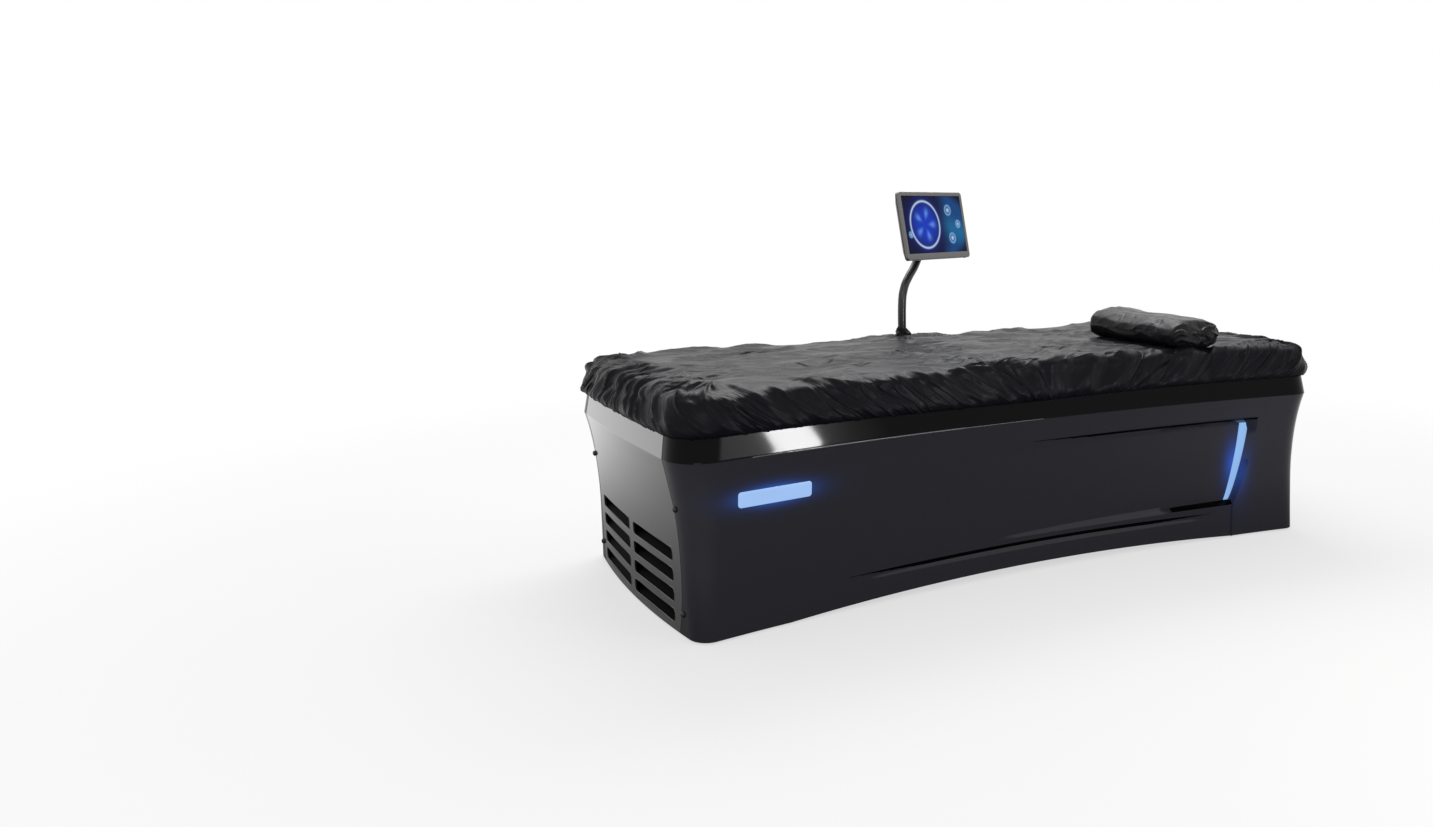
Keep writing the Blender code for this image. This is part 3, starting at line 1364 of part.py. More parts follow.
def travel_motor():
    """The geared motor that hangs under the tank and turns the drive pulley."""
    top = motor_top()
    neck = top - GEARBOX_LENGTH
    low = neck - MOTOR_LENGTH
    bore = SHAFT_RADIUS + GAP
    deep = top - MOTOR_BORE - GAP
    profile = [(0, low), (MOTOR_RADIUS - MOTOR_EDGE, low), (MOTOR_RADIUS, low + MOTOR_EDGE)]
    profile += [(MOTOR_RADIUS, neck), (GEARBOX_RADIUS, neck), (GEARBOX_RADIUS, top)]
    profile += [(bore, top), (bore, deep), (0, deep)]
    return turned("travel_motor", profile, "motor_alloy", at(-pulley_x(), 0, 0), segments=20)


# Pump, cooling and controls

def water_pump():
    """The pump's snail-shaped casing, with its outlet standing up and its inlet ahead."""
    spiral = []
    for t in np.linspace(0, 1, 24, endpoint=False):
        radius = PUMP_RADIUS + PUMP_GROWTH * t
        turn = 2 * math.pi * t
        spiral.append((radius * math.cos(turn), radius * math.sin(turn)))
    place = facing_x(PUMP_X, 0, PUMP_Z)
    made = plate("water_pump", [spiral], PUMP_THICKNESS, "pump_paint", place)
    height = PUMP_RADIUS + PUMP_GROWTH
    out_y = PUMP_RADIUS + PUMP_GROWTH - OUTLET_INSET
    spout = [(0, 0), (OUTLET_RADIUS, 0), (OUTLET_RADIUS, height), (0, height)]
    outlet = at(PUMP_X, out_y, PUMP_Z)
    cut(made, turned("pump_outlet", spout, "pump_paint", outlet, segments=16), "UNION")
    inlet = PUMP_THICKNESS / 2 + OUTLET_RADIUS
    mouth = [(0, 0), (OUTLET_RADIUS + INLET_FLARE, 0), (OUTLET_RADIUS, inlet), (0, inlet)]
    turn = at(PUMP_X, 0, PUMP_Z) @ Matrix.Rotation(math.radians(-90), 4, "Y")
    return cut(made, turned("pump_inlet", mouth, "pump_paint", turn, segments=16), "UNION")


def pump_motor():
    """The pump's motor with lengthwise fins, on a saddle that stands on the tray."""
    count = PUMP_FINS * 4
    outline = []
    for i in range(count):
        radius = PUMP_MOTOR_RADIUS - (PUMP_FIN_DEPTH if i % 4 in (1, 2) else 0.0)
        turn = 2 * math.pi * i / count
        outline.append((radius * math.cos(turn), radius * math.sin(turn)))
    start = PUMP_X + PUMP_THICKNESS / 2 + GAP
    middle = start + PUMP_MOTOR_LENGTH / 2
    made = plate("pump_motor", [outline], PUMP_MOTOR_LENGTH, "pump_paint", facing_x(middle, 0, PUMP_Z))
    foot, end = start + SADDLE_INSET, start + PUMP_MOTOR_LENGTH - SADDLE_INSET
    high = PUMP_Z - PUMP_MOTOR_RADIUS + SADDLE_SINK
    low, half = TRAY_TOP + GAP, SADDLE_HALF_WIDTH
    saddle = block("pump_saddle", (foot, -half, low), (end, half, high), "pump_paint")
    return cut(made, saddle, "UNION")


def hoses():
    """The suction hose from the tank to the pump, and the delivery hose back up to it."""
    top = TANK_FLOOR - WALL - GAP
    mouth = PUMP_X - PUMP_THICKNESS / 2 - OUTLET_RADIUS - GAP
    bend = mouth - SUCTION_REACH
    start, turn = mouth - HOSE_STRAIGHT, SUCTION_REACH
    elbow = [
        (start - (turn - HOSE_STRAIGHT) * math.sin(t), 0, PUMP_Z + turn * (1 - math.cos(t)))
        for t in np.linspace(0, math.pi / 2, 7)
    ]
    route = [(mouth, 0, PUMP_Z), *elbow, (bend, 0, top)]
    tube("suction_hose", route, HOSE_RADIUS, "black_rubber", sides=2)
    out_y = PUMP_RADIUS + PUMP_GROWTH - OUTLET_INSET
    low = PUMP_Z + PUMP_RADIUS + PUMP_GROWTH + GAP
    rise = [(PUMP_X, out_y, mix(low, top, share)) for share in (0.0, 0.5, 1.0)]
    tube("delivery_hose", rise, HOSE_RADIUS, "black_rubber", sides=2)


def shroud_x():
    """X of the shroud's outer face, flush with the end frame's inner side."""
    return END_FRAME_FROM_END + END_FRAME_THICKNESS / 2 + GAP - LENGTH / 2


def fan_shroud():
    """The carrier across the foot end with two fan tunnels, each with a spider and spindle."""
    tunnels = [circle(FAN_RADIUS, 24, (side * FAN_Y, 0)) for side in (-1, 1)]
    outline = rounded(SHROUD_HALF_Y, SHROUD_HALF_Z, SHROUD_CORNER, 2)
    place = facing_x(shroud_x() + SHROUD_DEPTH / 2, 0, FAN_Z)
    made = plate("fan_shroud", [outline, *tunnels], SHROUD_DEPTH, "fan_plastic", place)
    back = shroud_x() + SHROUD_DEPTH - SPIDER_THICKNESS / 2
    bar = rounded(FAN_RADIUS + SPIDER_ARM / 2, SPIDER_ARM / 2, SPIDER_ARM / 4, 1)
    reach = SHROUD_DEPTH - SPIDER_THICKNESS
    spindle = [(0, 0), (SPINDLE_RADIUS, 0), (SPINDLE_RADIUS, reach), (0, reach)]
    for side in (-1, 1):
        for turn in (45, 135):
            spin = Matrix.Rotation(math.radians(turn), 4, "Z")
            arm_place = facing_x(back, side * FAN_Y, FAN_Z) @ spin
            arm = plate(f"spider_{side}_{turn}", [bar], SPIDER_THICKNESS, "fan_plastic", arm_place)
            cut(made, arm, "UNION")
        outwards = at(back, side * FAN_Y, FAN_Z) @ Matrix.Rotation(math.radians(-90), 4, "Y")
        name = f"fan_spindle_{side}"
        cut(made, turned(name, spindle, "fan_plastic", outwards, segments=10), "UNION")
    return made


def fan_rotor(name, side):
    """A fan: a hub on the spindle with pitched blades that narrow to their tips."""
    depth = SHROUD_DEPTH - SPIDER_THICKNESS - 2 * FAN_TIP_GAP
    bore = SPINDLE_RADIUS + GAP
    hub = [(bore, 0), *((FAN_HUB * r, depth * h) for r, h in FAN_HUB_SHARES), (bore, depth)]
    start = shroud_x() + SHROUD_DEPTH - SPIDER_THICKNESS - GAP
    place = at(start, side * FAN_Y, FAN_Z) @ Matrix.Rotation(math.radians(-90), 4, "Y")
    made = turned(name, hub, "fan_plastic", place, segments=12, wrap=True)
    for k in range(FAN_BLADES):
        rings = []
        for share, chord_share, pitch_share in FAN_BLADE_SHARES:
            reach = mix(FAN_HUB - FAN_TIP_GAP, FAN_RADIUS - FAN_TIP_GAP, share)
            chord, pitch = FAN_BLADE_CHORD * chord_share, FAN_BLADE_PITCH * pitch_share
            half = FAN_BLADE_THICKNESS / 2
            along = chord / 2 * math.cos(pitch)
            rise = min(chord / 2 * math.sin(pitch), depth / 2 - half)
            rings.append([
                (reach, -along, depth / 2 - rise - half), (reach, along, depth / 2 + rise - half),
                (reach, along, depth / 2 + rise + half), (reach, -along, depth / 2 - rise + half),
            ])
        spin = Matrix.Rotation(2 * math.pi * k / FAN_BLADES, 4, "Z")
        cut(made, loft(f"{name}_blade_{k}", rings, "fan_plastic", place=place @ spin), "UNION")
    return made


def radiator():
    """The finned core behind the fans that takes heat out of the water."""
    front = shroud_x() + SHROUD_DEPTH + GAP
    spine = RADIATOR_DEPTH * RADIATOR_SPINE_SHARE
    half = SHROUD_HALF_Y - RADIATOR_MARGIN_Y
    pitch = 2 * half / (2 * RADIATOR_FINS - 1)
    outline = [(front, half), (front, -half)]
    for k in range(RADIATOR_FINS):
        y = 2 * k * pitch - half
        outline += [(front + RADIATOR_DEPTH, y), (front + RADIATOR_DEPTH, y + pitch)]
        if k < RADIATOR_FINS - 1:
            outline += [(front + spine, y + pitch), (front + spine, y + 2 * pitch)]
    height = 2 * (SHROUD_HALF_Z - RADIATOR_MARGIN_Z)
    return plate("radiator", [outline], height, "motor_alloy", at(0, 0, FAN_Z))


def control_box():
    """The closed case of the electronics and its lid, on the tray towards the head."""
    low = TRAY_TOP + GAP
    lid_low = low + CONTROL_HEIGHT + GAP
    for name, lap, bottom, height, paint in (
        ("control_box", 0.0, low, CONTROL_HEIGHT, "powder_coat"),
        ("control_box_lid", LID_LAP, lid_low, LID_HEIGHT, "zinc_steel"),
    ):
        half_x, half_y = CONTROL_LENGTH / 2 + lap, CONTROL_WIDTH / 2 + lap
        corner = (CONTROL_X - half_x, -half_y, bottom)
        block(name, corner, (CONTROL_X + half_x, half_y, bottom + height), paint, bevel=LID_LAP)


# The post and the monitor

def post_socket():
    """The cup welded beside the far side frame, in which the post turns."""
    outer, inner = socket_radius(), POST_RADIUS + GAP
    top = BOLSTER_TOP - 2 * GAP
    floor = SOCKET_BOTTOM + SOCKET_FLOOR
    profile = [(0, SOCKET_BOTTOM), (outer, SOCKET_BOTTOM), (outer, top)]
    profile += [(inner, top), (inner, floor), (0, floor)]
    return turned("post_socket", profile, "powder_coat", at(POST_X, post_y(), 0), segments=16)


def monitor_axes():
    """The monitor's right, up and outward directions at rest."""
    right = Vector((math.cos(MONITOR_YAW), math.sin(MONITOR_YAW), 0))
    level = Vector((math.sin(MONITOR_YAW), -math.cos(MONITOR_YAW), 0))
    out = level * math.cos(MONITOR_TILT) + Vector((0, 0, 1)) * math.sin(MONITOR_TILT)
    return right, out.cross(right), out


def monitor_place(behind=0.0):
    """The monitor's frame: X right, Y up, Z out of the screen, set back from its face."""
    right, up, out = monitor_axes()
    turn = Matrix((right, up, out)).transposed().to_4x4()
    place = at(POST_X + MONITOR_ASIDE, post_y() - MONITOR_BEFORE, COVER_TOP + MONITOR_ABOVE_COVER)
    return place @ turn @ at(0, 0, -behind)


def hinge_point():
    return monitor_place(HINGE_BEHIND).translation


def monitor_post():
    """The bent tube: straight up out of its socket, then leaning behind the monitor."""
    foot = SOCKET_BOTTOM + SOCKET_FLOOR + GAP
    head = hinge_point()
    lean = Vector((head.x - POST_X, head.y - post_y(), 0))
    tip = head.z - HEAD_BELOW_HINGE
    rise = tip - POST_TIP - POST_STRAIGHT_TOP
    straight = (foot, (foot + POST_STRAIGHT_TOP) / 2, POST_STRAIGHT_TOP - POST_TIP, POST_STRAIGHT_TOP)
    route = [(POST_X, post_y(), z) for z in straight]
    for share, height in POST_LEAN_SHARES:
        route.append((POST_X + lean.x * share, post_y() + lean.y * share, POST_STRAIGHT_TOP + rise * height))
    points = [*through(route, 22), (head.x, head.y, tip)]
    return tube("monitor_post", points, POST_RADIUS, "post_coat", sides=3)


def post_cuff():
    """The gathered fabric cuff that closes the cover round the post."""
    low = COVER_TOP + COVER_WAVE
    inner = POST_RADIUS + 2 * GAP
    outside = [(mix(inner, CUFF_RADIUS, out), low + CUFF_HEIGHT * up) for out, up in CUFF_SHARES]
    profile = [(inner, low), *outside, (inner, low + CUFF_HEIGHT)]
    return turned("post_cuff", profile, "cover_fabric", at(POST_X, post_y(), 0), segments=16, wrap=True)


def hinge_place():
    """The tilt hinge's frame: Z along the hinge, X level towards the screen, Y up."""
    right = monitor_axes()[0]
    up = Vector((0, 0, 1))
    turn = Matrix((right.cross(up), up, -right)).transposed().to_4x4()
    return Matrix.Translation(hinge_point()) @ turn


def swivel_knuckle():
    """The cap that turns on the post's head, with the lug that the monitor tilts on."""
    head = hinge_point()
    low = head.z - HEAD_BELOW_HINGE + GAP
    cap = [(KNUCKLE_RADIUS * r, low + KNUCKLE_HEIGHT * h) for r, h in KNUCKLE_SHARES]
    profile = [(0, low), *cap, (0, low + KNUCKLE_HEIGHT)]
    made = turned("swivel_knuckle", profile, "post_coat", at(head.x, head.y, 0), segments=16)
    drop = head.z - low - KNUCKLE_HEIGHT / 2
    outline = [(LUG_RADIUS * math.cos(t), LUG_RADIUS * math.sin(t)) for t in np.linspace(0, math.pi, 9)]
    outline += [(-LUG_RADIUS, -drop), (LUG_RADIUS, -drop)]
    lug = plate("tilt_lug", [outline], LUG_THICKNESS, "post_coat", hinge_place())
    cut(made, lug, "UNION")
    bore = [circle(PIN_RADIUS + GAP, 12)]
    return cut(made, plate("lug_bore", bore, LUG_THICKNESS + OVERRUN, "post_coat", hinge_place()))


def tilt_pin():
    """The pin through both ears and the lug, headed at each end."""
    half = LUG_THICKNESS / 2 + EAR_THICKNESS + 2 * GAP
    head = PIN_HEAD_RADIUS
    upper = [(PIN_RADIUS, half), (head, half), (head, half + PIN_HEAD), (0, half + PIN_HEAD)]
    profile = [(radius, -height) for radius, height in upper[::-1]] + upper
    return turned("tilt_pin", profile, "zinc_steel", hinge_place(), segments=12)


def tilt_plate():
    """The plate screwed to the monitor's back, with the two ears of the tilt hinge."""
    back = MONITOR_DEPTH + GAP + VESA_THICKNESS / 2
    outline = rounded(VESA_HALF, VESA_HALF, VESA_CORNER, 2)
    made = plate("tilt_plate", [outline], VESA_THICKNESS, "post_coat", monitor_place(back))
    reach = HINGE_BEHIND - MONITOR_DEPTH - GAP - VESA_THICKNESS / 2
    tilt = Matrix.Rotation(MONITOR_TILT, 4, "Z")
    round_end = np.linspace(math.pi / 2, 1.5 * math.pi, 9)
    ear = [(LUG_RADIUS * math.cos(t), LUG_RADIUS * math.sin(t)) for t in round_end]
    ear += [(reach, -LUG_RADIUS), (reach, LUG_RADIUS)]
    for side in (-1, 1):
        offset = side * (LUG_THICKNESS / 2 + GAP + EAR_THICKNESS / 2)
        place = hinge_place() @ tilt @ at(0, 0, offset)
        cut(made, plate(f"tilt_ear_{side}", [ear], EAR_THICKNESS, "post_coat", place), "UNION")
    bore = plate("ear_bore", [circle(PIN_RADIUS + GAP, 12)], 2 * LUG_THICKNESS, "post_coat", hinge_place())
    return cut(made, bore)


def monitor():
    """The monitor: back housing, bezel, glass and the power key under the bezel."""
    half_x, half_y = MONITOR_WIDTH / 2, MONITOR_HEIGHT / 2
    back_rings = []
    rim = ((0.0, BEZEL_DEPTH + GAP), (0.0, BEZEL_DEPTH + BACK_RIM))
    for shrink, behind in (*rim, (BACK_SLOPE, MONITOR_DEPTH)):
        outline = rounded(half_x - shrink, half_y - shrink, MONITOR_CORNER)
        back_rings.append([(x, y, -behind) for x, y in outline])
    loft("monitor_back", back_rings, "monitor_plastic", place=monitor_place())
    screen_x, screen_y = half_x - BEZEL_SIDE, half_y - (BEZEL_TOP + BEZEL_BOTTOM) / 2
    lift = (BEZEL_BOTTOM - BEZEL_TOP) / 2
    window = [(x, y + lift) for x, y in rounded(screen_x, screen_y, SCREEN_CORNER, 1)]
    outlines = [rounded(half_x, half_y, MONITOR_CORNER), window]
    middle = monitor_place(BEZEL_DEPTH / 2)
    bezel = plate("monitor_bezel", outlines, BEZEL_DEPTH, "bezel_silver", middle)
    glass = [(x, y + lift) for x, y in rounded(screen_x - GAP, screen_y - GAP, SCREEN_CORNER, 1)]
    behind = BEZEL_DEPTH - GLASS_THICKNESS / 2
    plate("screen_glass", [glass], GLASS_THICKNESS, "screen_glass", monitor_place(behind))
    spot = at(half_x - BUTTON_FROM_EDGE, -half_y, -BEZEL_DEPTH / 2)
    turn = Matrix.Rotation(math.radians(90), 4, "X")
    deep = BUTTON_HEIGHT + BUTTON_TRAVEL
    bore = BUTTON_RADIUS + GAP
    well = [(0, OVERRUN), (bore, OVERRUN), (bore, -deep), (0, -deep)]
    place = monitor_place() @ spot @ turn
    cut(bezel, turned("button_well", well, "bezel_silver", place, segments=10))
    low, high = -BUTTON_HEIGHT, BUTTON_PROUD
    key = [(0, low), (BUTTON_RADIUS, low), (BUTTON_RADIUS, high), (0, high)]
    turned("monitor_button", key, "monitor_plastic", place, segments=10)


def build():
    clear_scene()
    for side, name in ((-1, "near"), (1, "far")):
        shell = side_shell(f"side_shell_{name}", side)
        if side > 0:
            cut(shell, post_hole("shell_post_hole", socket_radius() + SOCKET_CLEAR))
        light_bar(f"light_bar_{name}", side)
        side_frame(f"side_frame_{name}", side)
        carriage_rail(f"carriage_rail_{name}", side)
        jet_rotor(f"jet_rotor_{name}", side)
        fan_rotor(f"fan_rotor_{name}", side)
    foot_end_panel()
    head_end_panel()
    light_plate()
    power_inlet()
    panel_screws()
    end_frame("end_frame_foot", -1)
    end_frame("end_frame_head", 1)
    leveling_feet()
    equipment_tray()
    water_tank()
    membrane()
    membrane_clamp()
    edge_bolster()
    bed_cover()
    neck_pillow()
    jet_carriage()
    drive_belt()
    drive_pulley()
    idler_pulley()
    travel_motor()
    water_pump()
    pump_motor()
    hoses()
    fan_shroud()
    radiator()
    control_box()
    post_socket()
    monitor_post()
    post_cuff()
    swivel_knuckle()
    tilt_pin()
    tilt_plate()
    monitor()


build()
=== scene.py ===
# %% [markdown]
# # A water massage bed, dressed for its render
# A hydromassage bed is a gloss black shell over a steel frame and a water tank. A fitted satin
# cover with a gathered hem lies over its padded edge, a neck roll lies at the head end, and a
# touch screen stands on a bent post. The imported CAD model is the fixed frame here: it says where
# everything is. This notebook gives each visible surface its fine form and its finish.

# %% Load the frame
import math

import bmesh
import bpy
import numpy as np
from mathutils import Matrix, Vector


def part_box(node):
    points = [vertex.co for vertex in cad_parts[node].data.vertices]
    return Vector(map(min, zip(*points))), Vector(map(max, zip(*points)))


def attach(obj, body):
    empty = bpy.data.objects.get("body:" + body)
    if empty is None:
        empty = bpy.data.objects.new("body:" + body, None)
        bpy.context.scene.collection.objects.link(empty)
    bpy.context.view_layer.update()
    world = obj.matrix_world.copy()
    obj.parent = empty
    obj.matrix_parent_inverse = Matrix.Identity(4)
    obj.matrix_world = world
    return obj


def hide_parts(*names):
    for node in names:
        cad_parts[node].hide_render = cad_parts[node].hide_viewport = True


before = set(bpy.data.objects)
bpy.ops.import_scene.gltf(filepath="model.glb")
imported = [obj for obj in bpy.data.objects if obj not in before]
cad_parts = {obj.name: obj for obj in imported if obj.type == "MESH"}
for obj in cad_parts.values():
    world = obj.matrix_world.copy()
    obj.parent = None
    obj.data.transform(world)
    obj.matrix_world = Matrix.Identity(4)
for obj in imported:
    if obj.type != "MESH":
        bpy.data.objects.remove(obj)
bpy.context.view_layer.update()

# %% [markdown]
# ## Camera
# The photograph was taken from the foot end's near corner, a little above the bed, with a normal
# lens. These numbers come from fitting the bed's outlines; the lens shift keeps upright edges as
# upright as they are there.

# %% Camera
CAMERA_PLACE = (-1.9792, -3.1979, 1.1135)
DOWN_DEGREES, AWAY_DEGREES = 10.2246, 30.918
view_data = bpy.data.cameras.new("camera")
view_data.sensor_width, view_data.lens = 36, 28.99
view_data.shift_x = -0.1595
camera = bpy.data.objects.new("camera", view_data)
camera.location = CAMERA_PLACE
camera.rotation_euler = (math.radians(90 - DOWN_DEGREES), 0, math.radians(-AWAY_DEGREES))
bpy.context.scene.collection.objects.link(camera)
bpy.context.scene.camera = camera

# %% [markdown]
# ## Making nodes, colours and meshes
# Small helpers serve the whole notebook. Colours are written as the hex values that a screen
# shows, and Blender wants linear light, so one function converts them. One function adds a shader
# node with its settings and links. Others put arrays of points and faces into a mesh, lay the
# faces of a grid, and make a value run smoothly from one to another.


# %% Helpers
def linear(code, alpha=1.0):
    """sRGB hex to linear: below 0.04045 a straight line, above it a power of 2.4."""
    value = np.array([int(code[i : i + 2], 16) for i in (0, 2, 4)]) / 255
    light = np.where(value <= 0.04045, value / 12.92, ((value + 0.055) / 1.055) ** 2.4)
    return (*light, alpha)


def add(tree, kind, inputs=None, **settings):
    """Add one node to a tree; an input is either a value or the socket that feeds it."""
    node = tree.nodes.new(kind)
    for name, value in settings.items():
        setattr(node, name, value)
    for name, value in (inputs or {}).items():
        if isinstance(value, bpy.types.NodeSocket):
            tree.links.new(value, node.inputs[name])
        else:
            node.inputs[name].default_value = value
    return node


def piece(name, points, faces, body, slot, materials):
    """A new mesh object from arrays, riding on a body, with its finish; the slot argument is not
    used.
    """
    mesh = bpy.data.meshes.new(name)
    faces = faces.tolist() if isinstance(faces, np.ndarray) else faces
    mesh.from_pydata(np.asarray(points, float).reshape(-1, 3), [], faces)
    mesh.polygons.foreach_set("use_smooth", np.ones(len(mesh.polygons), bool))
    for material in materials:
        mesh.materials.append(material)
    made = bpy.data.objects.new(name, mesh)
    bpy.context.scene.collection.objects.link(made)
    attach(made, body)
    return made


def merged(parts):
    """Put several (points, faces) pairs together as one."""
    points, faces, start = [], [], 0
    for some, their in parts:
        points.append(some)
        faces += [[start + i for i in face] for face in their]
        start += len(some)
    return np.concatenate(points), faces


def free_piece(name, parts, body, slot, materials, sharp=40):
    """A piece from (points, faces) pairs, shaded sharp where faces meet at over sharp degrees."""
    made = piece(name, *merged(parts), body, slot, materials)
    made.data.set_sharp_from_angle(angle=math.radians(sharp))
    return made


def quads(columns, rows, around=False, along=False):
    """Faces of a grid of columns x rows points, closed on itself where asked.

    Each quad takes point (c, r) and its neighbours at c + 1 and r + 1, counted modulo the size.
    """
    c = np.arange(columns if around else columns - 1)[:, None]
    r = np.arange(rows if along else rows - 1)[None, :]
    c_next, r_next = (c + 1) % columns, (r + 1) % rows
    corners = (c * rows + r, c_next * rows + r, c_next * rows + r_next, c * rows + r_next)
    return np.stack(corners, -1).reshape(-1, 4)


def settled(made):
    """Apply every modifier of a piece, so that its mesh is final."""
    graph = bpy.context.evaluated_depsgraph_get()
    mesh = bpy.data.meshes.new_from_object(made.evaluated_get(graph))
    made.modifiers.clear()
    old, made.data = made.data, mesh
    bpy.data.meshes.remove(old)
    return made


def walled(made, thickness):
    """Give a piece's faces a wall on their inner side; settled makes it final."""
    wall = made.modifiers.new("wall", "SOLIDIFY")
    wall.thickness, wall.offset = thickness, -1


def mix(first, last, share):
    """first at a share of 0 and last at 1, in a straight line."""
    return first + (last - first) * share


def smoothstep(low, high, at):
    """0 at low, 1 at high, 3t^2 - 2t^3 between them, and level past both."""
    t = np.clip((np.asarray(at, float) - low) / (high - low), 0, 1)
    return t * t * (3 - 2 * t)


# %% [markdown]
# ## Floor, light and background
# A plain studio: a pale floor that keeps the bed's shadow and fades to white with distance, a
# broad soft light overhead and a softer one from the front. Two lamps low on the near side stand
# for a window: the narrow one's reflection is the white patch on the band, and the wide weak one
# fades to both its ends, so the patch dies away softly. The world is an even grey for lighting,
# and white where the camera, a reflection or glass looks. A polished black shell is drawn by
# what it mirrors, so the floor carries a painted shade that only reflections see: dark beside
# the bed and running to white further off, as a dark floor mat under a bright room would give.

# %% Studio
# metres from the bed's middle where a fade starts and ends, and its tone where it starts
SEEN_FADE, MIRROR_SHADE_FADE = (1.0, 4.0, 0.60), (1.0, 2.9, 0.16)
FLOOR_REACH = 40.0
WHITE = (1, 1, 1, 1)


def seen_by(tree, *kinds):
    """1 where a ray is of one of these kinds: the greatest of the light path's answers."""
    ray = add(tree, "ShaderNodeLightPath")
    seen = ray.outputs[kinds[0]]
    for kind in kinds[1:]:
        greater = add(tree, "ShaderNodeMath", {0: seen, 1: ray.outputs[kind]}, operation="MAXIMUM")
        seen = greater.outputs[0]
    return seen


floor_finish = bpy.data.materials.new("painted_studio_floor")
floor_finish.use_nodes = True
tree = floor_finish.node_tree
tree.nodes.clear()
# a matt pale paint: it only has to take the shadow
paint = add(tree, "ShaderNodeBsdfPrincipled", {"Base Color": linear("F4F4F3"), "Roughness": 0.9})
place = add(tree, "ShaderNodeTexCoord").outputs["Object"]
away = add(tree, "ShaderNodeVectorMath", {0: place}, operation="LENGTH").outputs["Value"]
white_share, painted_mirror_shade = (
    add(
        tree, "ShaderNodeMapRange",
        {"Value": away, "From Min": near, "From Max": far, "To Min": least},
        interpolation_type="SMOOTHSTEP",
    ).outputs["Result"]
    for near, far, least in (SEEN_FADE, MIRROR_SHADE_FADE)
)
seen = seen_by(tree, "Is Camera Ray", "Is Glossy Ray")
share = add(tree, "ShaderNodeMath", {0: white_share, 1: seen}, operation="MULTIPLY")
white = add(tree, "ShaderNodeEmission", {"Color": WHITE, "Strength": 1.0})
shown = add(
    tree, "ShaderNodeMixShader", {0: share.outputs[0], 1: paint.outputs[0], 2: white.outputs[0]}
)
# reflections alone see this: the floor's emission, painted dark beside the bed as shade for the
# shell to mirror
painted_mirror_floor = add(tree, "ShaderNodeEmission", {"Color": WHITE, "Strength": painted_mirror_shade})
shown = add(
    tree, "ShaderNodeMixShader",
    {0: seen_by(tree, "Is Glossy Ray"), 1: shown.outputs[0], 2: painted_mirror_floor.outputs[0]},
)
add(tree, "ShaderNodeOutputMaterial", {"Surface": shown.outputs[0]})

ground = bpy.data.meshes.new("studio_floor")
corners = [(x * FLOOR_REACH, y * FLOOR_REACH, 0) for x, y in ((-1, -1), (1, -1), (1, 1), (-1, 1))]
ground.from_pydata(corners, [], [(0, 1, 2, 3)])
ground.materials.append(floor_finish)
floor = bpy.data.objects.new("studio_floor", ground)
bpy.context.scene.collection.objects.link(floor)

world = bpy.data.worlds.new("studio")
bpy.context.scene.world = world
world.use_nodes = True
tree = world.node_tree
tree.nodes.clear()
even = add(tree, "ShaderNodeBackground", {"Color": WHITE, "Strength": 0.55})
white = add(tree, "ShaderNodeBackground", {"Color": WHITE, "Strength": 1.0})
seen = seen_by(tree, "Is Camera Ray", "Is Glossy Ray", "Is Transmission Ray")
shown = add(tree, "ShaderNodeMixShader", {0: seen, 1: even.outputs[0], 2: white.outputs[0]})
add(tree, "ShaderNodeOutputWorld", {"Surface": shown.outputs[0]})


def softbox(name, place, aim, size, power, faded=False):
    """A rectangular area light of so many watts at place, turned to look at aim.

    A faded one gives 1 in the middle of its width and 0 at both ends, eased by 3t^2 - 2t^3.
    """
    light = bpy.data.lights.new(name, "AREA")
    light.shape = "RECTANGLE"
    light.size, light.size_y = size
    light.energy = power
    if faded:
        light.use_nodes = True
        tree = light.node_tree
        tree.nodes.clear()
        across = add(tree, "ShaderNodeNewGeometry").outputs["Parametric"]
        across = add(tree, "ShaderNodeSeparateXYZ", {"Vector": across}).outputs["X"]
        off = add(tree, "ShaderNodeMath", {0: across, 1: 0.5}, operation="SUBTRACT")
        aside = add(tree, "ShaderNodeMath", {0: off.outputs[0]}, operation="ABSOLUTE")
        share = add(
            tree, "ShaderNodeMapRange",
            {"Value": aside.outputs[0], "From Max": 0.5, "To Min": 1.0, "To Max": 0.0},
            interpolation_type="SMOOTHSTEP",
        )
        glow = add(tree, "ShaderNodeEmission", {"Strength": share.outputs["Result"]})
        add(tree, "ShaderNodeOutputLight", {"Surface": glow.outputs[0]})
    lamp = bpy.data.objects.new(name, light)
    lamp.location = place
    back = np.subtract(place, aim)
    flat = math.hypot(back[0], back[1])
    lamp.rotation_euler = (math.atan2(flat, back[2]), 0, math.atan2(back[0], -back[1]))
    bpy.context.scene.collection.objects.link(lamp)


# name, place, aim, size and watts; both window lamps look at the same place on the band
BAND_PATCH = (-0.75, -0.45, 0.51)
softbox("overhead", (0.5, 1.6, 2.8), (0, 0, 0.5), (3.0, 1.2), 60)
softbox("front", (-2.6, -3.6, 3.0), (0, 0, 0.4), (2.0, 1.4), 26)
softbox("window_spill", (0.90, -2.95, 0.68), BAND_PATCH, (0.66, 0.26), 3.6, faded=True)
softbox("window", (0.94, -2.90, 0.68), BAND_PATCH, (0.11, 0.26), 13)
bpy.context.scene.view_settings.view_transform = "Standard"

# %% [markdown]
# ## The bed's sizes
# Fine surfaces need the numbers that the CAD source was built from. They are repeated here in
# metres, and every surface below is a function of two parameters that reads them.

# %% Sizes of the shell
LENGTH, WIDTH = 2.274, 1.014
CREASE, RIM_TOP = 0.481, 0.616
FLOOR_GAP, WALL, GAP, SEAM = 0.006, 0.005, 0.0003, 0.0024
WAIST, TUCK, BAND_TAPER = 0.087, 0.0266, 0.0225
TUCK_SHARES = ((0.0, 0.91), (0.25, 1.0), (0.54, 0.99), (0.83, 0.56), (0.93, 0.27), (1.0, 0.0))
SEAM_SHARES = ((0.0, 0.56), (0.16, 0.26), (0.36, 0.10), (0.53, 0.06), (0.68, 0.17), (1.0, 0.17))
CORNERS, BOWS = (0.058, 0.107), (0.0317, 0.0158)
RIM_DROP, RIM_INSET, DECK_WIDTH = 0.0015, 0.002, 0.060


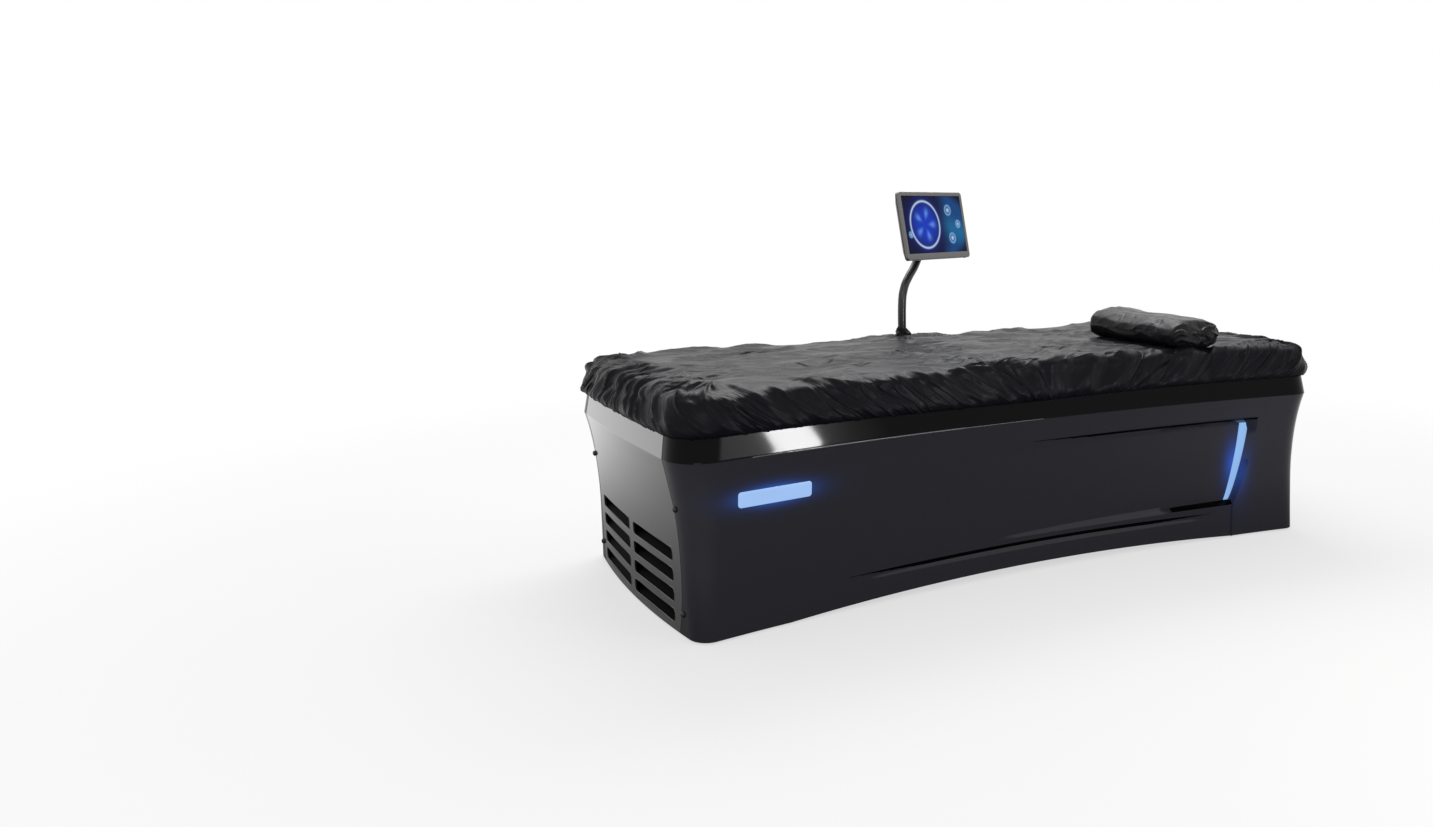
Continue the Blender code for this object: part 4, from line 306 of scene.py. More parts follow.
def eased(table, at):
    """Read a table of (place, value) pairs smoothly: a cubic through them with even slopes."""
    places, values = np.array(table, float).T
    slopes = np.gradient(values, places)
    at = np.clip(at, places[0], places[-1])
    i = np.clip(np.searchsorted(places, at, side="right") - 1, 0, len(places) - 2)
    step = places[i + 1] - places[i]
    t = (at - places[i]) / step
    keep, lift = (1 + 2 * t) * (1 - t) ** 2, t * (1 - t) ** 2
    rest = (1 - keep) * values[i + 1] - t**2 * (1 - t) * step * slopes[i + 1]
    return keep * values[i] + lift * step * slopes[i] + rest


def body_section(z):
    """Half length, half width, corner radius and end bow of the bed's plan at each height.

    Below the crease both halves lose the tuck read from its table; above it they lose the
    taper in proportion to the height.
    """
    z = np.asarray(z, float)
    below = TUCK * eased(TUCK_SHARES, z / CREASE)
    tuck = np.where(z < CREASE, below, BAND_TAPER * (z - CREASE) / (RIM_TOP - CREASE))
    share = np.clip(z / CREASE, 0, 1)
    return LENGTH / 2 - tuck, WIDTH / 2 - tuck, mix(*CORNERS, share), mix(*BOWS, share)


def seam_y(z):
    """How far from the middle the seam between side and end lies at each height."""
    _, half_width, corner, _ = body_section(z)
    return half_width - corner - CORNERS[1] * eased(SEAM_SHARES, np.asarray(z) / RIM_TOP)


def shaped(x, y, section, inset=0.0, waist_share=1.0):
    """Bow the ends by x^6 y^2 and draw in the sides by (1 - x^2) y^2, in shares of the halves."""
    half_x, half_y = section[0] - inset, section[1] - inset
    bow = section[3] * (np.abs(x) / half_x) ** 6 * (y / half_y) ** 2
    waist = waist_share * WAIST * (1 - (x / half_x) ** 2) * (y / half_y) ** 2
    return x - np.sign(x) * bow, y - np.sign(y) * waist


def side_y(x, z, inset=0.0):
    """How far out the plain long side lies at each x and height."""
    section = body_section(z)
    plain = np.array(x, float)
    for _ in range(3):
        plain = plain + x - shaped(plain, section[1] - inset, section, inset)[0]
    return shaped(plain, section[1] - inset, section, inset)[1]


def end_x(y, z, inset=0.0):
    """How far out the end face lies at each y and height."""
    section = body_section(z)
    return shaped(section[0] - inset, y, section, inset)[0]


# %% [markdown]
# ## The shell's finish
# The real shell is thermoformed ABS with a black acrylic cap, polished like a piano lid. Such a
# surface shows almost no colour of its own: at a steep angle it is near black, and at a grazing
# angle it mirrors the room, which is why the foot end looks pale grey. So its roughness is very
# low. Its base is nearly black on the band, the creases and the groove; the sides, the ends and a
# fine bead get a dark grey base instead, a painted reflection of the room. A faint long-wave bump
# stands for the ripple that forming leaves. Near a lamp the wall picks up blue light, drawn as a
# painted glow: the distance from the lamp's middle, in the piece's own coordinates, fades a little
# emission there. The band is darker than the side below it, a painted shade from its black base
# and lower specular level; creases and the groove are painted near black, almost without gloss,
# as shade; and the fine bead along the band's lower edge has a hazier gloss and a paler bluish
# base, partly a painted highlight, so that it catches a thin line of the window.

# %% Gloss black finishes
BAR_FROM_HEAD, BAR_LEAN, BAR_LOW, BAR_HIGH = 0.3375, 0.055, 0.019, 0.038
PLATE_X, PLATE_Z = 0.284 - LENGTH / 2, 0.370
PLATE_LENGTH, PLATE_HEIGHT = 0.216, 0.042


def new_tree(name):
    """An empty material and its node tree."""
    made = bpy.data.materials.new(name)
    made.use_nodes = True
    made.node_tree.nodes.clear()
    return made, made.node_tree


def bumped(tree, scale, distance, detail=3.0, source=None, stretch=None):
    """A noise bump: scale is the pattern's size in metres, distance its height in metres."""
    place = source or add(tree, "ShaderNodeTexCoord").outputs["Object"]
    if stretch:
        place = add(tree, "ShaderNodeMapping", {"Vector": place, "Scale": stretch}).outputs[0]
    noise = add(tree, "ShaderNodeTexNoise", {"Vector": place, "Scale": 1 / scale, "Detail": detail})
    bump = add(
        tree, "ShaderNodeBump",
        {"Height": noise.outputs["Fac"], "Distance": distance, "Strength": 1.0},
    )
    return noise, bump


def plain_finish(name, dark, pale, rough, metallic, grain, height, detail=3.0, stretch=None):
    """Two close tones and a bump from one noise; grain and height are in metres."""
    made, tree = new_tree(name)
    noise, bump = bumped(tree, grain, height, detail, stretch=stretch)
    tint = add(
        tree, "ShaderNodeMix",
        {"Factor": noise.outputs["Fac"], "A": linear(dark), "B": linear(pale)}, data_type="RGBA",
    )
    shader = add(
        tree, "ShaderNodeBsdfPrincipled",
        {
            "Base Color": tint.outputs["Result"], "Roughness": rough, "Metallic": metallic,
            "Normal": bump.outputs[0],
        },
    )
    add(tree, "ShaderNodeOutputMaterial", {"Surface": shader.outputs[0]})
    return made


def falloff(tree, centre, half, power):
    """1 at a box's middle, falling as 1 / (1 + d^2)^power, with d in shares of its halves."""
    place = add(tree, "ShaderNodeTexCoord").outputs["Object"]
    scale = [1 / h for h in half]
    offset = [-c / h for c, h in zip(centre, half)]
    moved = add(
        tree, "ShaderNodeVectorMath", {0: place, 1: scale, 2: offset}, operation="MULTIPLY_ADD"
    )
    length = add(tree, "ShaderNodeVectorMath", {0: moved.outputs[0]}, operation="LENGTH")
    square = add(
        tree, "ShaderNodeMath", {0: length.outputs["Value"], 1: 2.0}, operation="POWER"
    )
    more = add(tree, "ShaderNodeMath", {0: square.outputs[0], 1: 1.0}, operation="ADD")
    return add(tree, "ShaderNodeMath", {0: more.outputs[0], 1: -power}, operation="POWER")


def gloss_black(name, base, roughness, specular, painted_glows=(), coat=0.0):
    """Polished black plastic, with a painted glow of blue emission fading round each lamp it
    carries.
    """
    made, tree = new_tree(name)
    # ripples 220 mm long and 0.6 mm high bend the mirrored edges a little
    _, bump = bumped(tree, 0.22, 0.0006, detail=1.0)
    shader = add(
        tree, "ShaderNodeBsdfPrincipled",
        {
            "Roughness": roughness, "Specular IOR Level": specular, "Normal": bump.outputs[0],
            "Coat Weight": coat, "Coat Roughness": 0.05,
        },
    )
    # dust in 3 mm patches keeps the black from being one flat value
    place = add(tree, "ShaderNodeTexCoord").outputs["Object"]
    dust = add(tree, "ShaderNodeTexNoise", {"Vector": place, "Scale": 1 / 0.003, "Detail": 3.0})
    tint = add(
        tree, "ShaderNodeMix",
        {"Factor": dust.outputs["Fac"], "A": linear(base[0]), "B": linear(base[1])},
        data_type="RGBA",
    )
    tree.links.new(tint.outputs["Result"], shader.inputs["Base Color"])
    # painted glow: blue emission on the shell itself, fading with distance from each lamp
    light = None
    for centre, half, power, colour in painted_glows:
        share = falloff(tree, centre, half, power)
        part = add(
            tree, "ShaderNodeMix",
            {"Factor": share.outputs[0], "A": (0, 0, 0, 1), "B": linear(colour)},
            data_type="RGBA",
        )
        if light is None:
            light = part
        else:
            light = add(
                tree, "ShaderNodeMix",
                {"Factor": 1.0, "A": light.outputs["Result"], "B": part.outputs["Result"]},
                data_type="RGBA", blend_type="ADD",
            )
    if light is not None:
        tree.links.new(light.outputs["Result"], shader.inputs["Emission Color"])
        shader.inputs["Emission Strength"].default_value = 1.0
    add(tree, "ShaderNodeOutputMaterial", {"Surface": shader.outputs[0]})
    return made


# a painted glow's half sizes, how fast it fades, and its colour
BAR_PAINTED_GLOW, PLATE_PAINTED_GLOW = ((0.060, 0.3, 0.13), 4.0, "1247A8"), ((0.150, 0.3, 0.040), 4.5, "2A7CFF")
# middle of the bar's painted glow, beside the light bar
BAR_MIDDLE = (LENGTH / 2 - BAR_FROM_HEAD + 0.027, 0.43, 0.25)
bar_x, bar_y, bar_z = BAR_MIDDLE
side_painted_glows = {
    "near": (((bar_x, -bar_y, bar_z), *BAR_PAINTED_GLOW), ((PLATE_X, -0.46, PLATE_Z), *PLATE_PAINTED_GLOW)),
    "far": ((BAR_MIDDLE, *BAR_PAINTED_GLOW),),
}
# the sides' dark grey base is a painted reflection of the room over the black plastic
shell_painted_light = {
    side: gloss_black(f"polished_acrylic_cap_painted_light_{side}", ("26252B", "2A292F"), 0.05, 0.22, painted_glows)
    for side, painted_glows in side_painted_glows.items()
}
# base tones, roughness, specular level: a lower level keeps steep views black
# the band: the same plastic with a black base and a lower specular level, a painted shade
band_painted_shade = gloss_black("polished_acrylic_band_painted_shade", ("040405", "070709"), 0.035, 0.07)
# creases and the groove: near black and almost without gloss, a painted shade
groove_painted_shade = gloss_black("polished_acrylic_groove_painted_shade", ("020203", "030304"), 0.20, 0.02)
# the bead: hazier gloss, a clear coat and a paler bluish base; its line is partly the window lamp's
# reflection and partly a painted highlight
bead_painted_highlight = gloss_black("polished_acrylic_bead_painted_highlight", ("16161E", "1E1E28"), 0.28, 1.0, coat=1.0)
# the ends: a dark grey base, a painted reflection, under a full specular level and a clear coat
# that mirror the room in the render
end_painted_reflection = gloss_black("polished_acrylic_end_painted_reflection", ("252325", "2B292A"), 0.10, 1.0, coat=1.0)

# %% [markdown]
# ## The long sides
# Each side is one moulding with a waist, a recess that deepens towards the light bar, and a
# groove over the arched lower edge. It could be carved with Booleans, but those leave ragged
# shading on a mirror finish. Here a grid of columns and rows is laid so that its lines follow
# every edge: column lines lean with the bar, and row lines crowd where the wall steps.

# %% Columns and rows of the sides
RECESS_LOW, RECESS_HIGH = 0.115, CREASE - 0.069
LOW_SLOPE, HIGH_SLOPE = 0.012, 0.020
RECESS_DEPTH, RECESS_LENGTH = 0.025, 1.13
STEP_FROM_HEAD, STEP_LEAN, STEP_CURVE = 0.331, 0.083, 0.8
GROOVE = (0.070, 0.079, 0.091)
GROOVE_DEPTH, GROOVE_FROM_FOOT, GROOVE_FROM_HEAD = 0.005, 0.481, 0.397
ARCH_RISE, ARCH_HALF_SPAN = 0.020, 0.81
BEAD, BEAD_HIGHLIGHT_HALF, BEAD_HIGHLIGHT_BELOW = 0.0010, 0.0016, 0.0005
SLIT, SLIT_FROM, SLIT_GROWTH, LOW_SLIT_FROM, GROOVE_GROWTH = 0.010, 0.03, 0.20, 0.62, 1.8
BAR_CURVE, BAR_WIDENING, BAR_TIP = 0.8, 0.6, 0.009
SHARP, TINY = math.radians(50), 1e-6
# columns along a side: to the bar, over it, to the step behind it, and on to the head end
TO_BAR, OVER_BAR, TO_STEP, TO_HEAD = 150, 4, 8, 36


def bar_span(z):
    """X of the light bar's two edges: its middle leans by the sine of the height's share."""
    low, high = RECESS_LOW + LOW_SLOPE, RECESS_HIGH - HIGH_SLOPE
    t = np.clip((z - low) / (high - low), 0, 1)
    middle = LENGTH / 2 - BAR_FROM_HEAD + BAR_LEAN * np.sin(t * math.pi / 2) ** BAR_CURVE
    half = mix(BAR_LOW, BAR_HIGH, t**BAR_WIDENING) / 2
    return middle - half, middle + half - BAR_TIP * smoothstep(0.9, 1.0, t)


def step_x(z):
    """X of the edge where the wall behind the bar comes back out to the side."""
    t = np.clip((z - RECESS_LOW) / (RECESS_HIGH - RECESS_LOW), 0, 1)
    return LENGTH / 2 - STEP_FROM_HEAD + STEP_LEAN * np.sin(t * math.pi / 2) ** STEP_CURVE


def recess_share(x, z):
    """The recess grows with the square of its length's share, and comes back out between the
    bar and the step."""
    left, right = bar_span(z)
    along = np.clip((x - left + RECESS_LENGTH) / RECESS_LENGTH, 0, 1) ** 2
    return along * np.clip((step_x(z) - x) / np.maximum(step_x(z) - right, TINY), 0, 1)


def groove_share(x):
    """The groove swells along the bed as a sine between its two ends."""
    first, last = GROOVE_FROM_FOOT - LENGTH / 2, LENGTH / 2 - GROOVE_FROM_HEAD
    return np.sin(math.pi * np.clip((x - first) / (last - first), 0, 1))


def sunk(x, z):
    """Depth inside the plain form: the recess opens and closes over its slopes, the groove is a
    valley in height, and a fine bead stands out along the crease under the band."""
    window = np.clip((z - RECESS_LOW) / LOW_SLOPE, 0, 1)
    window = window * np.clip((RECESS_HIGH - z) / HIGH_SLOPE, 0, 1)
    groove = GROOVE_DEPTH * groove_share(x) * np.interp(z, GROOVE, (0, 1, 0))
    # the bead is 1.8 mm wide to each side, and loses 80 % of its height towards the head
    bead = BEAD * (1 - 0.8 * smoothstep(-0.5, 0.6, x)) * np.exp(-(((z - CREASE) / 0.0018) ** 2))
    return RECESS_DEPTH * recess_share(x, z) * window + groove - bead


def rows_between(marks):
    """Heights from pairs of (height, number of steps up to the next one)."""
    parts = [
        np.linspace(low, high, count, endpoint=False)
        for (low, count), (high, _) in zip(marks, marks[1:])
    ]
    return np.append(np.concatenate(parts), marks[-1][0])


def straight_and_corner(z, sign, inset=0.0, steps=14):
    """X and Y of the corner wrap's columns: a run from the seam, then a quarter circle."""
    section = body_section(z)
    half_x, half_y, corner = (size - inset for size in section[:3])
    run = np.linspace(0, 1, 5)[:-1, None]
    from_seam = seam_y(z) + SEAM / 2
    y_run = -mix(from_seam, half_y - corner, run)
    turn = np.linspace(0, math.pi / 2, steps + 1)[:-1, None]
    x_arc = half_x - corner + corner * np.cos(turn)
    y_arc = -(half_y - corner + corner * np.sin(turn))
    x = sign * np.concatenate([np.broadcast_to(half_x, y_run.shape), x_arc])
    return shaped(x, np.concatenate([y_run, y_arc]), section, inset)


def side_grid(z, inset=0.0):
    """All points of the near side's outer face at the heights z, and the light bar's columns."""
    foot_x, foot_y = straight_and_corner(z, -1, inset)
    head_x, head_y = (part[::-1] for part in straight_and_corner(z, 1, inset))
    section = body_section(z)
    half_x, half_y, corner = (size - inset for size in section[:3])
    end = shaped(half_x - corner, half_y, section, inset)[0]
    left, right = bar_span(z)
    edges = (-end, left, right, step_x(z), end)
    runs = zip(edges, edges[1:], (TO_BAR, OVER_BAR, TO_STEP, TO_HEAD))
    columns = [mix(a, b, np.arange(n)[:, None] / n) for a, b, n in runs]
    x = np.concatenate([*columns, end[None, :]])
    y = -side_y(x, z, inset)
    first_bar = len(foot_x) + TO_BAR
    x, y = np.concatenate([foot_x, x, head_x]), np.concatenate([foot_y, y, head_y])
    return x, y, (first_bar, first_bar + OVER_BAR)


SIDE_MARKS = [
    (FLOOR_GAP, 8), (0.070, 14), (0.091, 6), (RECESS_LOW, 6), (RECESS_LOW + LOW_SLOPE, 36),
    (RECESS_HIGH - HIGH_SLOPE, 10), (RECESS_HIGH, 10), (CREASE - 0.004, 4), (CREASE, 4),
    (CREASE + 0.004, 16), (RIM_TOP, 0),
]
side_z = rows_between(SIDE_MARKS)
print("rows of a side:", len(side_z))


# %% The two side shells
def side_shell(side, sign):
    """One long side with its corner wraps, band and deck; a slot is left for the light bar."""
    x, y, (bar_first, bar_last) = side_grid(side_z)
    z = np.broadcast_to(side_z, x.shape)
    # the lower edge's arch lifts the groove by half as much and the recess not at all
    lift_share = np.interp(z, (FLOOR_GAP, GROOVE[0], GROOVE[2], RECESS_LOW), (1, 0.5, 0.5, 0))
    arch = ARCH_RISE * np.clip(1 - (x / ARCH_HALF_SPAN) ** 2, 0, None)
    on_side = np.abs(y) > 0.3  # the corner wraps' ends stay plain
    points = np.stack([x, y + sunk(x, z) * on_side, z + arch * lift_share], -1)
    deck = []
    for inset in (RIM_INSET, DECK_WIDTH):
        deck_x, deck_y, _ = side_grid(np.array([RIM_TOP]), inset)
        deck.append(np.stack([deck_x, deck_y, np.full_like(deck_x, RIM_TOP)], -1))
    points[:, -1, 2] -= RIM_DROP
    points = np.concatenate([points, *deck], 1)
    points[..., 1] *= -sign
    columns, rows = points.shape[:2]
    faces = quads(columns, rows)
    c, r = faces[:, 0] // rows, faces[:, 0] % rows
    bar_ends = np.array([RECESS_LOW + LOW_SLOPE, RECESS_HIGH - HIGH_SLOPE])
    low, high = np.searchsorted(side_z, bar_ends - TINY)
    slot = (c >= bar_first) & (c < bar_last) & (r >= low) & (r < high)
    faces, c, r = faces[~slot], c[~slot], r[~slot]
    if sign > 0:
        faces = faces[:, ::-1]
    made = piece(
        f"side_moulding_{side}", points, faces, "bed", "gloss_shell",
        [shell_painted_light[side], band_painted_shade, groove_painted_shade, bead_painted_highlight],
    )
    row = np.minimum(r, len(side_z) - 1)
    z_face, x_face = side_z[row], x[c, row]
    share = recess_share(x_face, z_face)
    # the painted shade on the recess's upper crease and on the groove starts as a hairline and
    # widens as they deepen; the deep part of the recess's low slope gets it too
    grown = np.clip((share - SLIT_FROM) / SLIT_GROWTH, 0, 1)
    shaded_faces = (z_face > RECESS_HIGH - SLIT * grown) & (z_face < RECESS_HIGH - TINY)
    low_slope = (z_face > RECESS_LOW - TINY) & (z_face < RECESS_LOW + LOW_SLOPE - TINY)
    shaded_faces |= low_slope & (share > LOW_SLIT_FROM)
    grown = np.clip(GROOVE_GROWTH * groove_share(x_face), 0, 1)
    groove_foot = mix(GROOVE[2], GROOVE[1], grown)
    shaded_faces |= (z_face > groove_foot - TINY) & (z_face < GROOVE[2] - TINY)
    # the bead's painted highlight runs along the foot half and fades out towards the head
    swell = smoothstep(-1.0, -0.8, x_face) * (1 - smoothstep(-0.35, 0.25, x_face))
    bead = np.abs(z_face + BEAD_HIGHLIGHT_BELOW - CREASE) < BEAD_HIGHLIGHT_HALF * swell
    band = z_face > CREASE - TINY
    # finish slots: 0 side, 1 band (painted shade), 2 creases and groove (painted shade), 3 bead
    # (painted highlight)
    index = np.where(bead, 3, np.where(band, 1, np.where(shaded_faces, 2, 0)))
    made.data.polygons.foreach_set("material_index", index.astype(np.int32))
    walled(made, WALL)
    settled(made)
    made.data.set_sharp_from_angle(angle=SHARP)
    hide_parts(f"side_shell_{side}")
    return made


for side, sign in (("near", -1), ("far", 1)):
    made = side_shell(side, sign)
    print(made.name, len(made.data.polygons), "faces")

# %% [markdown]
# ## The two ends
# The foot end carries the louvres: two columns of four round-cornered slots with a sloping blade
# behind each. The panel is a fine grid between the seams, given its wall, and then the slots are
# cut by one Boolean with prisms of the slots' outlines, because their round corners cross the
# grid's lines. Blades and the rolled lips of the slots are lofts of their own.

# %% End panels
END_MARKS = [(FLOOR_GAP, 90), (CREASE - 0.004, 4), (CREASE, 4), (CREASE + 0.004, 16), (RIM_TOP, 0)]
end_z = rows_between(END_MARKS)
LOUVRE_TOP, LOUVRE_HEIGHT, LOUVRE_PITCH, LOUVRE_COUNT = 0.232, 0.037, 0.056, 4
LOUVRE_INNER, LOUVRE_OUTER, LOUVRE_CORNER = 0.0175, WIDTH / 2 - 0.170, 0.012
INLET_HALF_WIDTH, INLET_HALF_HEIGHT, INLET_CORNER, INLET_Z = 0.0243, 0.0143, 0.003, 0.120
CUT_OUTSIDE, SLOT_CUT, INLET_CUT = 0.02, 0.08, 0.09


def round_outline(half_a, half_b, radius, steps=8, centre=(0.0, 0.0)):
    """A rectangle with quarter circles at its corners, anticlockwise, as an array of points."""
    turn = (np.arange(4)[:, None] * 90 + np.linspace(0, 90, steps + 1)) * math.pi / 180
    sign_a = np.array([1, -1, -1, 1])[:, None]
    sign_b = np.array([1, 1, -1, -1])[:, None]
    a = centre[0] + sign_a * (half_a - radius) + radius * np.cos(turn)
    b = centre[1] + sign_b * (half_b - radius) + radius * np.sin(turn)
    return np.stack([a.ravel(), b.ravel()], -1)


def louvre_outlines():
    """The eight slots' outlines across the end."""
    half_y, half_z = (LOUVRE_OUTER - LOUVRE_INNER) / 2, LOUVRE_HEIGHT / 2
    middle_y = (LOUVRE_OUTER + LOUVRE_INNER) / 2
    found = []
    for side in (-1, 1):
        for k in range(LOUVRE_COUNT):
            centre = (side * middle_y, LOUVRE_TOP - LOUVRE_PITCH * k - half_z)
            found.append(round_outline(half_y, half_z, LOUVRE_CORNER, centre=centre))
    return found


def prisms(name, outlines, x_low, x_high):
    """Closed prisms along X over outlines in Y and Z, as one temporary object."""
    parts = []
    for outline in outlines:
        n = len(outline)
        ring = np.arange(n)
        walls = np.stack([ring, (ring + 1) % n, (ring + 1) % n + n, ring + n], -1)
        ends = [np.insert(outline, 0, x, axis=1) for x in (x_low, x_high)]
        closed = walls.tolist() + [ring[::-1].tolist(), (ring + n).tolist()]
        parts.append((np.concatenate(ends), closed))
    points, faces = merged(parts)
    mesh = bpy.data.meshes.new(name)
    mesh.from_pydata(points.tolist(), [], faces)
    made = bpy.data.objects.new(name, mesh)
    bpy.context.scene.collection.objects.link(made)
    return made


def end_panel(name, sign, node, cutter):
    """One end between its seams: x is the end face's reach at each y and height."""
    share = np.linspace(1, -1, 121)[:, None]
    y = share * (seam_y(end_z) - SEAM / 2)
    z = np.broadcast_to(end_z, y.shape)
    points = np.stack([-end_x(y, z), y, z], -1)
    points[:, -1, 2] -= RIM_DROP
    top_y = share * (seam_y(np.array([RIM_TOP])) - SEAM / 2)
    top = np.full_like(top_y, RIM_TOP)
    insets = (RIM_INSET, DECK_WIDTH)
    deck = [np.stack([-end_x(top_y, top, inset), top_y, top], -1) for inset in insets]
    points = np.concatenate([points, *deck], 1)
    points[..., 0] *= -sign
    columns, rows = points.shape[:2]
    faces = quads(columns, rows)
    if sign > 0:
        faces = faces[:, ::-1]
    made = piece(name, points, faces, "bed", "end_panel", [end_painted_reflection])
    walled(made, WALL)
    cut = made.modifiers.new("holes", "BOOLEAN")
    cut.object, cut.solver = cutter, "EXACT"
    settled(made)
    made.data.set_sharp_from_angle(angle=SHARP)
    bpy.data.objects.remove(cutter)
    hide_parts(node)
    return made


slots = prisms("slots", louvre_outlines(), -LENGTH / 2 - CUT_OUTSIDE, -LENGTH / 2 + SLOT_CUT)
foot_panel = end_panel("end_moulding_foot", -1, "foot_end_panel", slots)
inlet = round_outline(INLET_HALF_WIDTH, INLET_HALF_HEIGHT, INLET_CORNER, 4, (0.0, INLET_Z))
hole = prisms("inlet_hole", [inlet], LENGTH / 2 - INLET_CUT, LENGTH / 2 + CUT_OUTSIDE)
head_panel = end_panel("end_moulding_head", 1, "head_end_panel", hole)
print("end panels:", len(foot_panel.data.polygons), len(head_panel.data.polygons), "faces")

# %% Louvre blades and rolled lips
BLADE_DEPTH, BLADE_RISE, BLADE_THICKNESS, BLADE_DROP = 0.027, 0.021, 0.003, 0.0005
RIB, RIB_REACH, RIB_BEHIND, RIB_BESIDE_SLOT = 0.006, 0.010, 0.0015, 0.003
LIP_RADIUS, LIP_BEHIND = 0.0013, 0.0003
louvre_finish = gloss_black("moulded_abs_louvre", ("020203", "040405"), 0.50, 0.01)
# the rolled lips: a grey base, a painted highlight, on top of the light their rolled edge catches
lip_painted_highlight = gloss_black("moulded_abs_lip_painted_highlight", ("4A494B", "555456"), 0.22, 0.9)


def strip(path, profile):
    """Carry a closed profile along a path and cap the ends. The profile is an array of points
    round the path, one for the whole path or one for each of its points."""
    points = path[:, None, :] + profile
    rows = profile.shape[-2]
    faces = quads(len(path), rows, along=True).tolist()
    last = (len(path) - 1) * rows
    caps = [list(range(rows))[::-1], [last + i for i in range(rows)]]
    return points.reshape(-1, 3), faces + caps


front, back = WALL + GAP, BLADE_DEPTH + RIB_BEHIND
blade_profile = np.array([
    (front, 0, -BLADE_DROP - BLADE_THICKNESS), (front, 0, -BLADE_DROP),
    (BLADE_DEPTH, 0, BLADE_RISE), (BLADE_DEPTH, 0, BLADE_RISE - BLADE_THICKNESS),
])
parts = []
for side in (-1, 1):
    for k in range(LOUVRE_COUNT):
        y = side * np.linspace(LOUVRE_INNER - RIB, LOUVRE_OUTER + RIB, 40)[::-side]
        z = np.full_like(y, LOUVRE_TOP - LOUVRE_PITCH * k - LOUVRE_HEIGHT)
        parts.append(strip(np.stack([-end_x(y, z), y, z], -1), blade_profile))
bottom = LOUVRE_TOP - LOUVRE_PITCH * (LOUVRE_COUNT - 1) - LOUVRE_HEIGHT - RIB_REACH
z = np.linspace(bottom, LOUVRE_TOP + RIB_REACH, 12)
outer = LOUVRE_OUTER + RIB
for middle, half in ((-outer, RIB), (0.0, LOUVRE_INNER - RIB_BESIDE_SLOT), (outer, RIB)):
    y = np.full_like(z, middle)
    rib_profile = np.array([(front, -half, 0), (front, half, 0), (back, half, 0), (back, -half, 0)])
    parts.append(strip(np.stack([-end_x(y, z), y, z], -1), rib_profile))
blades = free_piece("louvre_blades", parts, "bed", "end_panel", [louvre_finish])
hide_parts("foot_end_panel")


def ring_tube(centre_line, radius, across, steps=8):
    """A closed tube round a loop: radius times cosine across it and sine along X."""
    turn = np.linspace(0, 2 * math.pi, steps, endpoint=False)
    along_x = np.array([1.0, 0, 0]) * radius
    points = (
        centre_line[:, None, :]
        + across[:, None, :] * (radius * np.cos(turn))[None, :, None]
        + along_x * np.sin(turn)[None, :, None]
    )
    faces = quads(len(centre_line), steps, around=True, along=True)
    return points.reshape(-1, 3), faces.tolist()


parts = []
for outline in louvre_outlines():
    step = np.roll(outline, -1, 0) - np.roll(outline, 1, 0)
    across = np.stack([np.zeros(len(step)), step[:, 1], -step[:, 0]], -1)
    across /= np.linalg.norm(across, axis=1)[:, None]
    x = -end_x(outline[:, 0], outline[:, 1]) + LIP_BEHIND
    parts.append(ring_tube(np.column_stack([x, outline]), LIP_RADIUS, across))
lips = free_piece("louvre_lips", parts, "bed", "end_panel", [lip_painted_highlight], sharp=180)
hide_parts("foot_end_panel")
print("blades and lips:", len(blades.data.polygons), len(lips.data.polygons), "faces")

# %% [markdown]
# ## The light bars and the nameplate
# The bars are lit acrylic lenses at the deep end of each recess, and the plate is a lit lens on
# the near side. Its face is left bare. A lamp behind milky acrylic looks even, with a slightly
# paler middle, so each lens glows with one blue that fades a little towards its rim.


# %% Lit lenses
def lens_finish(name, middle, rim, axis_scale):
    """Milky acrylic lit from behind: emission runs from rim to middle by a stretched noise."""
    made, tree = new_tree(name)
    noise, bump = bumped(tree, 0.05, 0.0002, 2.0, stretch=axis_scale)
    tint = add(
        tree, "ShaderNodeMix",
        {"Factor": noise.outputs["Fac"], "A": linear(rim), "B": linear(middle)}, data_type="RGBA",
    )
    shader = add(
        tree, "ShaderNodeBsdfPrincipled",
        {
            "Base Color": linear("10151C"), "Roughness": 0.3, "Normal": bump.outputs[0],
            "Emission Color": tint.outputs["Result"], "Emission Strength": 1.0,
        },
    )
    add(tree, "ShaderNodeOutputMaterial", {"Surface": shader.outputs[0]})
    return made


bar_lens = lens_finish("lit_acrylic_bar", "8FBAEE", "7FA9E0", (1, 1, 0.3))
plate_lens = lens_finish("lit_acrylic_plate", "A3C4F4", "93B8EC", (0.3, 1, 1))
BAR_COLUMNS, BAR_ROWS = 9, 60
LENS_INSET, LENS_CROWN, LENS_THICKNESS = 0.0009, 0.0012, 0.0045
for side, sign in (("near", -1), ("far", 1)):
    low, high = RECESS_LOW + LOW_SLOPE, RECESS_HIGH - HIGH_SLOPE
    z = np.linspace(low + LENS_INSET, high - LENS_INSET, BAR_ROWS)
    left, right = bar_span(z)
    share = np.linspace(0, 1, BAR_COLUMNS)[:, None]
    x = mix(left + LENS_INSET, right - LENS_INSET, share)
    y = -side_y(x, z) + RECESS_DEPTH - LENS_CROWN * np.sin(math.pi * share) ** 0.5
    points = np.stack([x, y * -sign, np.broadcast_to(z, x.shape)], -1)
    faces = quads(BAR_COLUMNS, BAR_ROWS)
    faces = faces[:, ::-1] if sign > 0 else faces
    bar = piece(f"light_lens_{side}", points, faces, "bed", "lit_lens", [bar_lens])
    walled(bar, LENS_THICKNESS)
    settled(bar)
    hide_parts(f"light_bar_{side}")

